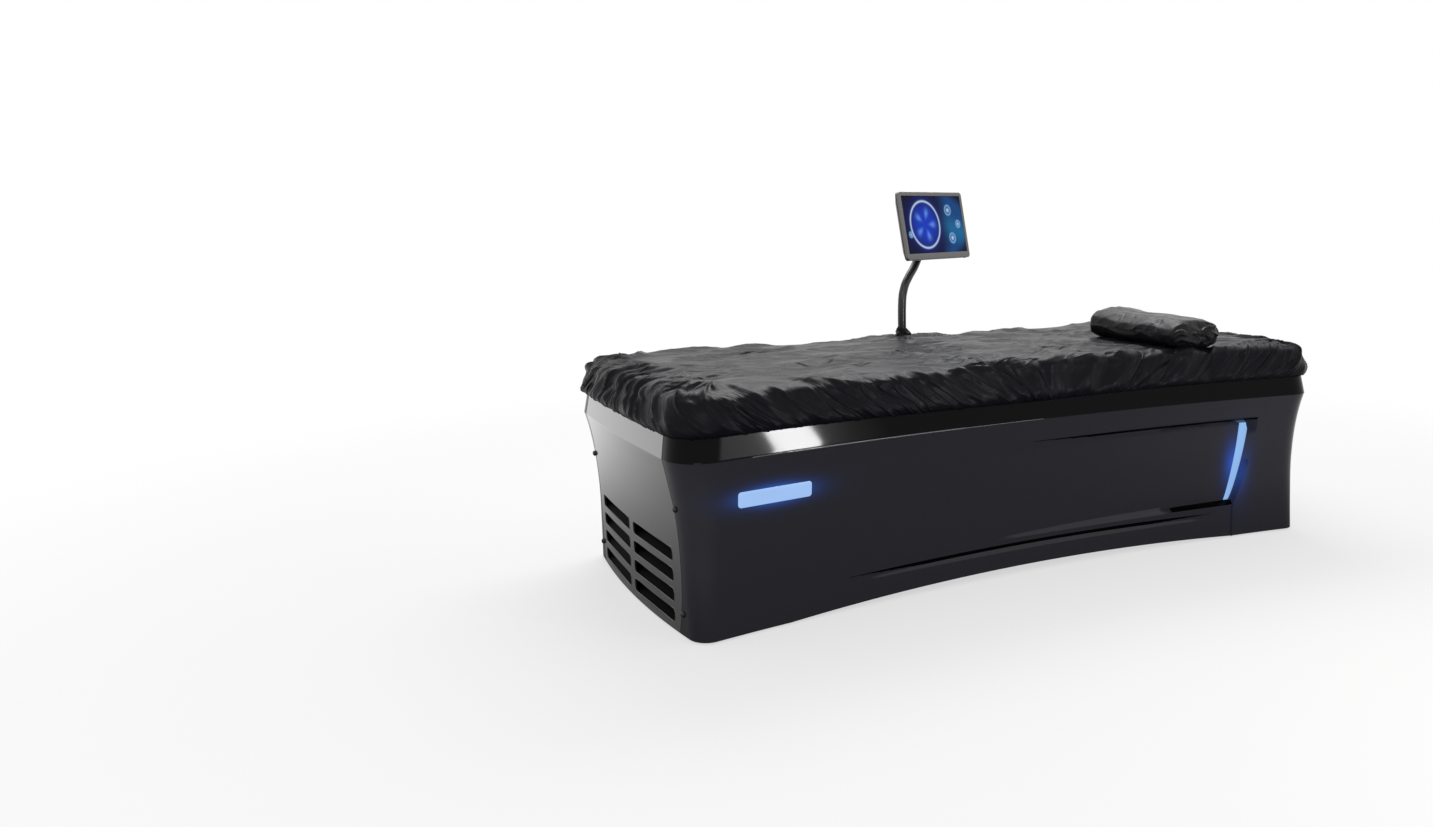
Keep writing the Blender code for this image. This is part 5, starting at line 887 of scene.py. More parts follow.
# the plate's rings, from its back to its face: drawn in by, and standing out of the side by
PLATE_RINGS = ((0.0, 0.0012), (0.0, 0.0042), (0.0006, 0.0049), (0.0016, 0.0052), (0.016, 0.0053))
PLATE_CORNER, LEAST_CORNER = 0.008, 0.003
rings = []
for shrink, out in PLATE_RINGS:
    ring = round_outline(
        PLATE_LENGTH / 2 - shrink, PLATE_HEIGHT / 2 - shrink,
        max(PLATE_CORNER - shrink, LEAST_CORNER), centre=(PLATE_X, PLATE_Z),
    )
    y = -side_y(ring[:, 0], ring[:, 1]) - out
    rings.append(np.column_stack([ring[:, 0], y, ring[:, 1]]))
rings = np.array(rings)
count = rings.shape[1]
faces = quads(len(rings), count, along=True)[:, ::-1].tolist()
# face and back are closed by strips between a ring's two halves
run = np.arange(count // 2)
other = count - 1 - run
face_strip = np.stack([other[:-1], other[1:], run[1:], run[:-1]], -1) + (len(rings) - 1) * count
back_strip = np.stack([run[1:], other[1:], other[:-1], run[:-1]], -1)
faces += face_strip.tolist() + back_strip.tolist()
plate = free_piece(
    "name_plate_lens", [(rings.reshape(-1, 3), faces)], "bed", "lit_lens", [plate_lens]
)
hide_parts("light_plate")
print("lenses made")

# %% [markdown]
# ## Nylon satin
# The cover and the roll are black nylon satin with a thin coating on its back. It is smooth, so
# creases catch long soft highlights, and crinkles between 5 and 30 mm break them up. The thread
# spacing of about 0.4 mm can't show here, so the weave is drawn at 1.2 mm and kept faint. The
# cover's smallest sharp folds are finer than its grid of points, so they are bump in its finish:
# on the top in patches along three directions, on the skirt along the pleats, whose place each
# point carries.


# %% Satin finish
def crest(tree, place, size, height, share):
    """Height in metres of pinched folds: a tent where the noise passes its middle, so that each
    fold has a sharp crest and flat cloth beside it. Size is the folds' spacing in metres."""
    noise = add(tree, "ShaderNodeTexNoise", {"Vector": place, "Scale": 1 / size, "Detail": 0.0})
    off = add(tree, "ShaderNodeMath", {0: noise.outputs["Fac"], 1: 0.5}, operation="SUBTRACT")
    aside = add(tree, "ShaderNodeMath", {0: off.outputs[0]}, operation="ABSOLUTE")
    # a fold ends where the noise is 0.055 off its middle
    tent = add(
        tree, "ShaderNodeMapRange",
        {"Value": aside.outputs[0], "From Max": 0.055, "To Min": height, "To Max": 0.0},
    )
    shared = {0: tent.outputs["Result"], 1: share}
    return add(tree, "ShaderNodeMath", shared, operation="MULTIPLY").outputs[0]


def fine_folds(tree, place):
    """Bump of the cover's sharp small folds, finer than its grid: on the top they are stretched
    along three directions and come in patches, on the skirt they follow the pleats."""
    height = add(tree, "ShaderNodeSeparateXYZ", {"Vector": place}).outputs["Z"]
    top = add(
        tree, "ShaderNodeMapRange",
        {"Value": height, "From Min": COVER_TOP - 0.030, "From Max": COVER_TOP - 0.006},
        interpolation_type="SMOOTHSTEP",
    ).outputs["Result"]
    skirt = add(tree, "ShaderNodeMath", {0: 1.0, 1: top}, operation="SUBTRACT").outputs[0]
    # patches 0.30 m wide: between them the top's small folds keep 12 % of their height
    patch = add(tree, "ShaderNodeTexNoise", {"Vector": place, "Scale": 1 / 0.30, "Detail": 1.0})
    patch = add(
        tree, "ShaderNodeMapRange",
        {"Value": patch.outputs["Fac"], "From Min": 0.42, "From Max": 0.60, "To Min": 0.12},
    ).outputs["Result"]
    on_top = add(tree, "ShaderNodeMath", {0: top, 1: patch}, operation="MULTIPLY").outputs[0]
    heights = []
    for degrees, stretch, size, high in TOP_FAMILIES:
        turned_place = add(
            tree, "ShaderNodeMapping",
            {"Vector": place, "Rotation": (0, 0, math.radians(degrees)), "Scale": (stretch, 1, 1)},
            vector_type="TEXTURE",
        ).outputs[0]
        heights.append(crest(tree, turned_place, size, high, on_top))
    pleats = add(tree, "ShaderNodeAttribute", attribute_name="pleat_place").outputs["Vector"]
    # groups 0.13 m wide: between them the skirt's small folds keep 15 %
    group = add(tree, "ShaderNodeTexNoise", {"Vector": pleats, "Scale": 1 / 0.13, "Detail": 0.0})
    group = add(
        tree, "ShaderNodeMapRange",
        {"Value": group.outputs["Fac"], "From Min": 0.38, "From Max": 0.58, "To Min": 0.15},
    ).outputs["Result"]
    on_skirt = add(tree, "ShaderNodeMath", {0: skirt, 1: group}, operation="MULTIPLY").outputs[0]
    heights += [crest(tree, pleats, size, high, on_skirt) for size, high in SKIRT_FAMILIES]
    total = heights[0]
    for more in heights[1:]:
        total = add(tree, "ShaderNodeMath", {0: total, 1: more}, operation="ADD").outputs[0]
    height = {"Height": total, "Distance": 1.0, "Strength": 1.0}
    return add(tree, "ShaderNodeBump", height).outputs[0]


def satin(name, dark, pale, crinkle, roughness, specular, folded=False):
    """Woven nylon: base colour, crinkles at two sizes, a faint weave and a soft sheen. Crinkle
    is a height in metres, and roughness runs from the valleys of the crinkles to their ridges."""
    made, tree = new_tree(name)
    place = add(tree, "ShaderNodeTexCoord").outputs["Object"]
    large, first = bumped(tree, 0.055, crinkle * 2.2, 2.0, place)
    if folded:
        tree.links.new(fine_folds(tree, place), first.inputs["Normal"])
    ridge = add(
        tree, "ShaderNodeTexNoise",
        {"Vector": place, "Scale": 1 / 0.030, "Detail": 2.0, "Distortion": 0.6},
        noise_type="RIDGED_MULTIFRACTAL",
    )
    second = add(
        tree, "ShaderNodeBump",
        {
            "Height": ridge.outputs["Fac"], "Distance": crinkle * 0.5, "Strength": 1.0,
            "Normal": first.outputs[0],
        },
    )
    weave = add(tree, "ShaderNodeTexChecker", {"Vector": place, "Scale": 1 / 0.0012})
    third = add(
        tree, "ShaderNodeBump",
        {
            "Height": weave.outputs["Fac"], "Distance": 0.00004, "Strength": 1.0,
            "Normal": second.outputs[0],
        },
    )
    tint = add(
        tree, "ShaderNodeMix",
        {"Factor": large.outputs["Fac"], "A": linear(dark), "B": linear(pale)}, data_type="RGBA",
    )
    rough = add(
        tree, "ShaderNodeMapRange",
        {"Value": ridge.outputs["Fac"], "To Min": roughness[0], "To Max": roughness[1]},
    )
    shader = add(
        tree, "ShaderNodeBsdfPrincipled",
        {
            "Base Color": tint.outputs["Result"], "Roughness": rough.outputs["Result"],
            "Normal": third.outputs[0], "Specular IOR Level": specular,
            "Sheen Weight": 0.03, "Sheen Roughness": 0.4, "Sheen Tint": linear("8A8A9A"),
        },
    )
    add(tree, "ShaderNodeOutputMaterial", {"Surface": shader.outputs[0]})
    return made


COVER_TOP = 0.660
# degrees, stretch, spacing and height of the top's small folds; spacing and height of the skirt's
TOP_FAMILIES = ((8, 6.0, 0.105, 0.0036), (-20, 5.0, 0.080, 0.0022), (40, 4.0, 0.085, 0.0024))
SKIRT_FAMILIES = ((0.060, 0.0040), (0.032, 0.0022))
cover_satin = satin(
    "nylon_satin_cover", "07070B", "101017", 0.0003, (0.31, 0.43), 0.085, folded=True
)
roll_satin = satin("nylon_satin_roll", "0B0B0E", "151519", 0.0004, (0.28, 0.40), 0.16)

# %% [markdown]
# ## The fitted cover
# The real cover is one sheet with elastic in its hem, pulled over the padded edge. Its skirt is
# full of slanting pleats that run over the round shoulder, and its top has long creases between
# smooth places. A full cloth simulation of a sheet this large with elastic is slow and hard to
# steer, so the surface is a function: rings of the bed's own outline run from the hem's inside,
# round the hem, up the skirt, over the shoulder and in to a spine along the middle. Fields of
# folds then move each point along the surface's normal. The fields are noise that is drawn out
# along the folds. A pinched fold's sharp crest lies where the noise crosses zero, and the same
# noise taken another way gives the broad facets of crumpled cloth. The skirt adds round lumps
# and pleats that lean as they rise.

# %% Sizes and rings of the cover
COVER_HEM, OVERHANG = RIM_TOP - 0.073, 0.019
ROLL_SINK = 0.006
ROLL_CENTRE, ROLL_TURN = (LENGTH / 2 - 0.477, 0.335 - WIDTH / 2), math.radians(-1)
POST_X, POST_Y, POST_RADIUS = -0.020, 0.3683, 0.0145


def loop_plain(corner_steps, side_steps, end_steps):
    """Stations round a rounded rectangle: for each, its side shares and its corner turn.

    A point is (sx (half_x - corner) + corner cos, sy (half_y - corner) + corner sin), where on
    the straight runs the share runs from -1 to 1 and the turn stands still.
    """
    quarter = np.linspace(0, math.pi / 2, corner_steps, endpoint=False)
    parts = []
    runs = ((-1, -1, side_steps), (1, -1, end_steps), (1, 1, side_steps), (-1, 1, end_steps))
    for k, (sx, sy, steps) in enumerate(runs):
        turn = math.pi + k * math.pi / 2 + quarter
        corner = [np.full_like(turn, sx), np.full_like(turn, sy), np.cos(turn), np.sin(turn)]
        parts.append(np.stack(corner, -1))
        run = np.linspace(-1, 1, steps, endpoint=False)
        at = np.full_like(run, math.pi * 1.5 + k * math.pi / 2)
        along_x = k % 2 == 0
        share_x = run * (1 if k == 0 else -1) if along_x else np.full_like(run, sx)
        share_y = np.full_like(run, sy) if along_x else run * (1 if k == 1 else -1)
        parts.append(np.stack([share_x, share_y, np.cos(at), np.sin(at)], -1))
    return np.concatenate(parts)


def bed_outline(stations, outline_z, inset, waist_share=1.0):
    """The bed's outline at a height, drawn in by inset: a rounded rectangle, then shaped."""
    section = body_section(outline_z)
    half_x, half_y = section[0] - inset, section[1] - inset
    corner = np.maximum(section[2] - inset, 0.020)
    x = stations[:, 0] * (half_x - corner) + corner * stations[:, 2]
    y = stations[:, 1] * (half_y - corner) + corner * stations[:, 3]
    return np.stack(shaped(x, y, section, inset, waist_share), -1)


COVER_ROUND = loop_plain(40, 400, 130)
# rows of the turned-in hem: how far out and how high, in shares of the overhang and the skirt
HEM, HEM_CLEAR, HEM_SAG = ((0.02, 0.22), (0.04, 0.08), (0.0, -0.02)), 0.0005, 0.006
# the skirt's own height shares, and how far out in shares of the overhang
SKIRT_OUT = (
    (0.0, 0.30), (0.05, 0.72), (0.10, 0.90), (0.2, 1.0), (0.45, 0.86), (0.75, 0.62), (1.0, 0.36)
)
SKIRT_ROWS, SHOULDER_ROWS, TOP_ROWS = 17, 15, 46
SHOULDER_DROP, SHOULDER_REACH = (0.028, 0.036), (0.068, 0.155)
SPINE_INSET, SPINE_HALF = 0.46, 0.66


def shoulder(plain_xy):
    """How far the shoulder drops and reaches in at each station: both grow at the two ends."""
    endness = smoothstep(0.74, 1.0, np.abs(plain_xy[:, 0]) / (LENGTH / 2))
    return mix(*SHOULDER_DROP, endness), mix(*SHOULDER_REACH, endness)


def cover_base():
    """The cover without folds, as rows x stations: hem, skirt, quarter-ellipse shoulder, top.

    The shoulder drops by D over a reach R: inset R (1 - cos a), height D sin a. D and R grow
    from the long sides to the two ends.
    """
    plain_xy = bed_outline(COVER_ROUND, RIM_TOP, 0.0)
    drop, reach = shoulder(plain_xy)
    table_at, table_out = np.array(SKIRT_OUT).T
    low_z = COVER_HEM - HEM_SAG * np.exp(-(((plain_xy[:, 0] + 0.05) / 0.45) ** 2))
    start_z = COVER_TOP - drop
    insets = [np.full_like(drop, -HEM_CLEAR - out * OVERHANG) for out, _ in HEM]
    heights = [mix(low_z, start_z, share) for _, share in HEM]
    for share in np.linspace(0, 1, SKIRT_ROWS) ** 1.25:
        insets.append(np.full_like(drop, -OVERHANG * np.interp(share, table_at, table_out)))
        heights.append(mix(low_z, start_z, share))
    first = insets[-1]
    for turn in np.linspace(0, math.pi / 2, SHOULDER_ROWS)[1:]:
        insets.append(first + (reach - first) * (1 - math.cos(turn)))
        heights.append(start_z + drop * math.sin(turn))
    for share in np.linspace(0, 1, TOP_ROWS)[1:]:
        insets.append(mix(reach, SPINE_INSET, share))
        heights.append(np.full_like(drop, COVER_TOP))
    insets, heights = np.array(insets), np.array(heights)
    for _ in range(3):
        for table in (insets, heights):
            table[4:-1] = 0.25 * table[3:-2] + 0.5 * table[4:-1] + 0.25 * table[5:]
    waist_share = 1 - np.clip(insets, 0, None) / (WIDTH / 2)
    xy = bed_outline(COVER_ROUND, np.minimum(heights, RIM_TOP), insets, waist_share)
    rows = np.concatenate([xy, heights[..., None]], -1)
    spine_x = np.clip(rows[-1, :, 0], -SPINE_HALF, SPINE_HALF)
    spine = np.stack([spine_x, np.zeros_like(drop), np.full_like(drop, COVER_TOP)], -1)
    return np.concatenate([rows, spine[None]])


base = cover_base()
print("cover grid:", base.shape)


# %% Noise, creases and puffs
LATTICE = 512
LATTICE_TURN = np.random.default_rng(7).random((LATTICE, LATTICE)) * 2 * math.pi


def noise_at(u, v, seed, period=LATTICE):
    """Gradient noise from about -1 to 1: every corner of a square lattice has a random slope,
    and the four ramps that meet in a cell are blended by 6t^5 - 15t^4 + 10t^3."""
    u, v = np.broadcast_arrays(np.asarray(u, float), np.asarray(v, float) + 31 * seed)
    i, j = np.floor(u).astype(int), np.floor(v).astype(int)
    across, up = u - i, v - j
    blend_u, blend_v = (t**3 * (t * (6 * t - 15) + 10) for t in (across, up))
    corner = {}
    for di in (0, 1):
        for dj in (0, 1):
            way = LATTICE_TURN[(i + di) % period, (j + dj) % LATTICE]
            corner[di, dj] = np.cos(way) * (across - di) + np.sin(way) * (up - dj)
    low = mix(corner[0, 0], corner[1, 0], blend_u)
    return 1.5 * mix(low, mix(corner[0, 1], corner[1, 1], blend_u), blend_v)


def creases(u, v, seed, period=LATTICE):
    """Pinched cloth: (1 - 1.9 |noise|)^2, a sharp crest where the noise crosses zero."""
    return np.clip(1 - 1.9 * np.abs(noise_at(u, v, seed, period)), 0, 1) ** 2


def facets(u, v, seed):
    """Crumpled cloth: 0.5 - |noise|, smooth slopes that meet in sharp ridges."""
    return 0.5 - np.abs(noise_at(u, v, seed))


def puffs(u, v, seed, period=LATTICE):
    """Billowing cloth: |noise|^0.7, round lumps with a sharp valley between them."""
    return np.clip(1.6 * np.abs(noise_at(u, v, seed, period)), 0, 1) ** 0.7


def turned(x, y, degrees, across, along):
    """Coordinates for folds that run at an angle: cells across by along metres, warped."""
    a = math.radians(degrees)
    warp_x = 0.05 * noise_at(x / 0.21, y / 0.21, 3)
    warp_y = 0.05 * noise_at(x / 0.19, y / 0.19, 9)
    x, y = x + warp_x, y + warp_y
    beside, ahead = y * math.cos(a) - x * math.sin(a), x * math.cos(a) + y * math.sin(a)
    return beside / across, ahead / along


# %% Folds of the cover
def top_folds(x, y):
    """Height added to the cover's top: long creases at the foot half, crumples at the middle,
    a star round the post, and everywhere the facets of crumpled cloth and slow swells."""
    foot = 1 - smoothstep(-0.15, 0.40, x)
    middle = np.exp(-(((x - 0.12) / 0.38) ** 2))
    head = smoothstep(0.15, 0.6, x)
    patch = smoothstep(-0.25, 0.35, noise_at(x / 0.42, y / 0.26, 1))
    other = smoothstep(-0.15, 0.35, noise_at(x / 0.30, y / 0.30, 2))
    # form, degrees, cell across and along the folds in metres, seed, and height where they lie
    families = (
        (creases, 8, 0.075, 0.42, 4, 0.0080 * foot * (0.15 + 0.85 * patch)),
        (creases, -24, 0.060, 0.26, 5, 0.0055 * (foot * other + 0.35 * head)),
        (creases, 38, 0.085, 0.16, 6, 0.0075 * middle * (0.35 + 0.65 * other) + 0.0030 * head),
        (creases, 15, 0.036, 0.11, 8, 0.0010 * (0.10 + 0.90 * patch)),
        (creases, -52, 0.040, 0.09, 11, 0.0006 * (middle + 0.4 * head + 0.2)),
        (facets, 10, 0.20, 0.60, 31, 0.0210 * (0.35 + 0.65 * foot)),
        (facets, 48, 0.17, 0.34, 32, 0.0230 * (0.15 + 0.85 * middle)),
        (facets, -18, 0.10, 0.30, 33, 0.0100),
    )
    height = sum(
        high * form(*turned(x, y, degrees, across, along), seed)
        for form, degrees, across, along, seed, high in families
    )
    distance = np.hypot(x - POST_X, y - POST_Y)
    turn = np.arctan2(y - POST_Y, x - POST_X)
    star = creases(turn * 1.6 + 0.6 * noise_at(x / 0.08, y / 0.08, 13), distance / 0.16, 14)
    height += 0.0110 * star * np.exp(-(((distance - 0.06) / 0.13) ** 2))
    swell = 0.0050 * noise_at(x / 0.34, y / 0.20, 12)
    # neither highest nor lowest point is more than 12 mm off, however the folds meet
    return 0.0120 * np.tanh((height + swell - 0.0110) / 0.0120)


AROUND, DEEPEST, LUMPS = 6.26, 0.008, 45


def leaning(s, w):
    """Arc length along the pleats' feet: a low pleat leans by up to 1.8 w, and less higher up."""
    way = np.tanh(1.6 * np.sin(4 * math.pi * (s - 5.95) / AROUND))
    return s + 1.8 * way * 0.12 * np.tanh(w / 0.12)


def skirt_folds(s, w, x):
    """How far the cloth stands out at arc length s and at w metres along the cloth from the hem.

    Pleats are drawn out along w and lean away from the middle of each side as they rise: the
    lean is tanh of a sine that passes zero at the middle of each side and end. The elastic
    gathers the hem with short waves.
    """
    at = leaning(s, w)

    def cells(size):
        count = int(AROUND / size)
        return at / AROUND * count, count

    large, small, fine, finer = cells(0.150), cells(0.072), cells(0.031), cells(0.030)
    ends = smoothstep(0.78, 1.06, np.abs(x))
    body = smoothstep(0.0, 0.035, w)
    middle = np.exp(-(((x - 0.25) / 0.55) ** 2))
    wander = 0.045 * noise_at(large[0], w / 0.25, 26, large[1])
    phase = (s + 0.5 * (at - s) + wander) * LUMPS / AROUND
    lump = np.abs(np.sin(math.pi * phase)) ** 0.7 - 0.6
    puff = puffs(large[0], w / 0.15, 21, large[1])
    pleat = creases(small[0], w / 0.20, 22, small[1])
    thin = creases(fine[0], w / 0.085, 23, fine[1])
    gather = np.sin(2 * math.pi * at / 0.0195 + 2.5 * noise_at(large[0], w / 0.1, 24, large[1]))
    ruffle = noise_at(finer[0], w / 0.05, 25, finer[1])
    # heights in metres: lumps fullest along the sides, pleats at the ends, gathers at the hem
    return (
        body * ((0.003 + 0.013 * middle * (1 - ends)) * lump + 0.0080 * (puff - 0.5))
        + body * ((0.0070 + 0.0050 * ends) * pleat + 0.0018 * thin)
        + (0.0016 * gather + 0.0035 * ruffle) * np.exp(-((w / 0.022) ** 2))
    )


def cover_points(base):
    """The base moved along its normals by both fields; the skirt's fades out over the top. No
    fold dips by more than DEEPEST, because the padded edge lies under it.

    The second result is the place that the finish's pleats read: the leaning arc length wound
    round a circle, so that it closes, and the way up the cloth drawn out 3.5 times.
    """
    hem = len(HEM)
    step = np.linalg.norm(np.diff(base, axis=0), axis=-1)
    w = np.concatenate([np.zeros((hem + 1, base.shape[1])), np.cumsum(step[hem:], 0)])
    ring = base[hem + 3, :, :2]
    side = np.linalg.norm(np.roll(ring, -1, 0) - ring, axis=1)
    s = AROUND * np.concatenate([[0], np.cumsum(side)[:-1]]) / side.sum()
    along = np.roll(base, -1, 1) - np.roll(base, 1, 1)
    upward = np.gradient(base, axis=0)
    normal = np.cross(along, upward)
    normal /= np.maximum(np.linalg.norm(normal, axis=-1), 1e-12)[..., None]
    normal[-2:] = (0, 0, 1)
    x, y = base[..., 0], base[..., 1]
    ends = smoothstep(0.80, 1.05, np.abs(x))
    far = smoothstep(0.10, 0.30, y) * (1 - ends)
    # the pleats die out between 0.11 and 0.19 m up the cloth, later at the ends, and the top's
    # folds come in between 0.075 and 0.130 m
    fade_from = mix(0.11, 0.15, ends) - 0.03 * far
    fade = 1 - smoothstep(fade_from, mix(0.19, 0.30, ends) - 0.06 * far, w)
    on_top = smoothstep(0.075, 0.130, w) * (np.arange(len(base)) > hem)[:, None]
    push = skirt_folds(s[None, :], w, x) * fade + top_folds(x, y) * on_top
    push[:hem] = 0
    push = np.where(push < 0, -DEEPEST * np.tanh(-push / DEEPEST), push)
    turn = 2 * math.pi * leaning(s[None, :], np.minimum(w, 0.3)) / AROUND
    radius = AROUND / (2 * math.pi)
    pleat_place = np.stack([radius * np.cos(turn), radius * np.sin(turn), w / 3.5], -1)
    return base + normal * push[..., None], pleat_place


grid, pleat_place = cover_points(base)
# the cloth under the roll lies flat, 1 mm under it
beside = np.abs(grid[..., :2] - ROLL_CENTRE)
flat_under_pillow = smoothstep(0.16, 0.11, beside[..., 0]) * smoothstep(0.32, 0.26, beside[..., 1])
on_top = np.arange(len(grid))[:, None] >= len(HEM) + SKIRT_ROWS + SHOULDER_ROWS - 6
sunk_top = np.minimum(grid[..., 2], COVER_TOP - 0.0010 - ROLL_SINK)
grid[..., 2] = np.where(on_top, mix(grid[..., 2], sunk_top, flat_under_pillow), grid[..., 2])
rows, columns = grid.shape[:2]
faces = quads(rows, columns, along=True)
cover = piece("satin_cover", grid, faces, "bed", "cover_fabric", [cover_satin])
stored = cover.data.attributes.new("pleat_place", "FLOAT_VECTOR", "POINT")
stored.data.foreach_set("vector", pleat_place.ravel())
# the two sides of the spine meet, so their doubles are merged and the sheet is whole there
form = bmesh.new()
form.from_mesh(cover.data)
bmesh.ops.remove_doubles(form, verts=form.verts, dist=0.0004)
bmesh.ops.recalc_face_normals(form, faces=form.faces)
area = sum(face.calc_area() for face in form.faces)
form.to_mesh(cover.data)
form.free()
print("cover:", len(cover.data.polygons), "faces,", round(area, 3), "m2 of cloth")
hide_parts("bed_cover")

# %% [markdown]
# ## The padded edge
# Under the cover's shoulder lies a foam pad in the same round form. The CAD pad is a plain bar
# with a taller edge, so this one replaces it: its top is the cover's own shoulder lowered by
# 14.5 mm, room for the deepest fold, and its two sides are straight walls. Foam is cut and
# skinned, so a fine dull grain is all that it needs.

# %% Padded edge
PAD_OUTER, PAD_INNER, PAD_FLOOR, PAD_CLEAR = 0.006, 0.056, RIM_TOP + GAP, 0.0145
OUTER_EDGE_ROUNDED, INNER_EDGE_ROUNDED = 0.004, 0.002
row_inset = np.linspace(PAD_OUTER, PAD_INNER, 14)
drop, reach = shoulder(bed_outline(COVER_ROUND, RIM_TOP, 0.0))
start = -OVERHANG * SKIRT_OUT[-1][1]
cosine = np.clip(1 - (row_inset[:, None] - start) / (reach - start), 0, 1)
pad_z = COVER_TOP - drop + drop * np.sqrt(1 - cosine**2) - PAD_CLEAR
pad_z[0] -= OUTER_EDGE_ROUNDED
pad_z[-1] -= INNER_EDGE_ROUNDED
floor_z = np.full(len(COVER_ROUND), PAD_FLOOR)
pad_rows = [(PAD_OUTER, floor_z), *zip(row_inset, pad_z), (PAD_INNER, floor_z)]
rings = [
    np.column_stack([bed_outline(COVER_ROUND, RIM_TOP, inset), z]) for inset, z in pad_rows
]
foam_finish = plain_finish("closed_cell_foam_skin", "2E2E32", "3A3A3E", 0.85, 0.0, 0.0022, 0.0002)
pad_faces = quads(len(rings), len(COVER_ROUND), around=True, along=True)
pad = piece("padded_edge", np.array(rings), pad_faces, "bed", "foam", [foam_finish])
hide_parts("edge_bolster")
print("padded edge:", len(pad.data.polygons), "faces")

# %% [markdown]
# ## The neck roll
# The roll is a stuffed tube of the same satin, drawn together at its two flat ends. A real one is
# sewn flat and filled, so it is made the same way here: a slack bag is remeshed into even cloth,
# blown up by a short cloth simulation, and then the gathers at its ends and the creases between
# them are drawn in with a formula, because the remesh would have lost them.

# %% Neck roll
ROLL_LENGTH, ROLL_WIDTH, ROLL_HEIGHT = 0.508, 0.208, 0.086
ROLL_CAP, BOXY, ROLL_SIDES = 0.12, 0.62, 72
ROLL_SLACK, ROLL_VOXEL, ROLL_GATHERS, ROLL_MIDDLE_Z = 0.975, 0.005, 9, 0.047


def vectors(found, kind):
    """A mesh's vectors of one kind, as rows of an array."""
    flat = np.empty(len(found) * 3)
    found.foreach_get(kind, flat)
    return flat.reshape(-1, 3)


def roll_surface(lengthwise, turn, slack):
    """A bag: each ring is a boxy oval, |cos|^0.62 by |sin|^0.62, flat where it rests.

    Past a lengthwise share of 1 the rings close over a flat end that is dimpled in the middle.
    """
    s = np.abs(lengthwise)
    cap = np.clip((s - 1) / ROLL_CAP, 0, 1)
    body = np.minimum(s, 1)
    fat = np.sqrt(1 - 0.40 * smoothstep(0.86, 1.0, body) ** 2) * (1 - cap)
    wide = slack * ROLL_WIDTH / 2 * (1 - 0.05 * body**2) * fat
    tall = slack * ROLL_HEIGHT * (1 + 0.10 * smoothstep(0.2, 0.9, lengthwise))
    tall = tall * (1 - 0.07 * body**4)
    c, n = np.cos(turn), np.sin(turn)
    x = wide * np.sign(c) * np.abs(c) ** BOXY
    middle = tall * 0.47
    z = middle + (tall * (1 + np.sign(n) * np.abs(n) ** BOXY) / 2 - middle) * fat
    y = np.sign(lengthwise) * (body * slack * ROLL_LENGTH / 2 - 0.010 * cap**0.7)
    return np.stack(np.broadcast_arrays(x, y, z), -1)


def remeshed(made, voxel):
    """Put even faces of one size in place of a closed bag's own."""
    remesh = made.modifiers.new("even", "REMESH")
    remesh.mode, remesh.voxel_size = "VOXEL", voxel
    settled(made)


def soft_sim(made, pressure, frames, most):
    """Blow a closed bag up as cloth, keep each point's move up to most, and return how far the
    farthest point went before it was held back."""
    before = vectors(made.data.vertices, "co")
    cloth = made.modifiers.new("cloth", "CLOTH")
    cloth.settings.use_pressure = True
    cloth.settings.uniform_pressure_force = pressure
    cloth.settings.effector_weights.gravity = 0
    cloth.settings.tension_stiffness = 12
    cloth.settings.bending_stiffness = 0.4
    cloth.point_cache.frame_start, cloth.point_cache.frame_end = 1, frames
    for now in range(1, frames + 1):
        bpy.context.scene.frame_set(now)
    settled(made)
    move = vectors(made.data.vertices, "co") - before
    far = np.linalg.norm(move, axis=1)
    move *= np.minimum(1, most / np.maximum(far, 1e-9))[:, None]
    made.data.vertices.foreach_set("co", (before + move).ravel())
    bpy.context.scene.frame_set(1)
    return float(far.max())


past_end = 1 + ROLL_CAP * np.linspace(0, 0.97, 15)[1:]
lengthwise = np.concatenate([-past_end[::-1], np.linspace(-1, 1, 71), past_end])[:, None]
turn = np.linspace(0, 2 * math.pi, ROLL_SIDES, endpoint=False)[None, :]
points = roll_surface(lengthwise, turn, ROLL_SLACK)
faces = quads(len(points), ROLL_SIDES, along=True)[:, ::-1].tolist()
first = np.arange(ROLL_SIDES)
last = first + (len(points) - 1) * ROLL_SIDES
faces += [first.tolist(), last[::-1].tolist()]
roll = free_piece(
    "neck_roll", [(points.reshape(-1, 3), faces)], "pillow", "cover_fabric", [roll_satin], sharp=180
)
remeshed(roll, ROLL_VOXEL)
farthest = soft_sim(roll, pressure=4.0, frames=20, most=0.008)
print("roll: free cloth would have moved up to", round(farthest * 1000, 1), "mm")
smooth = roll.modifiers.new("smooth", "SUBSURF")
smooth.levels = smooth.render_levels = 1
settled(roll)


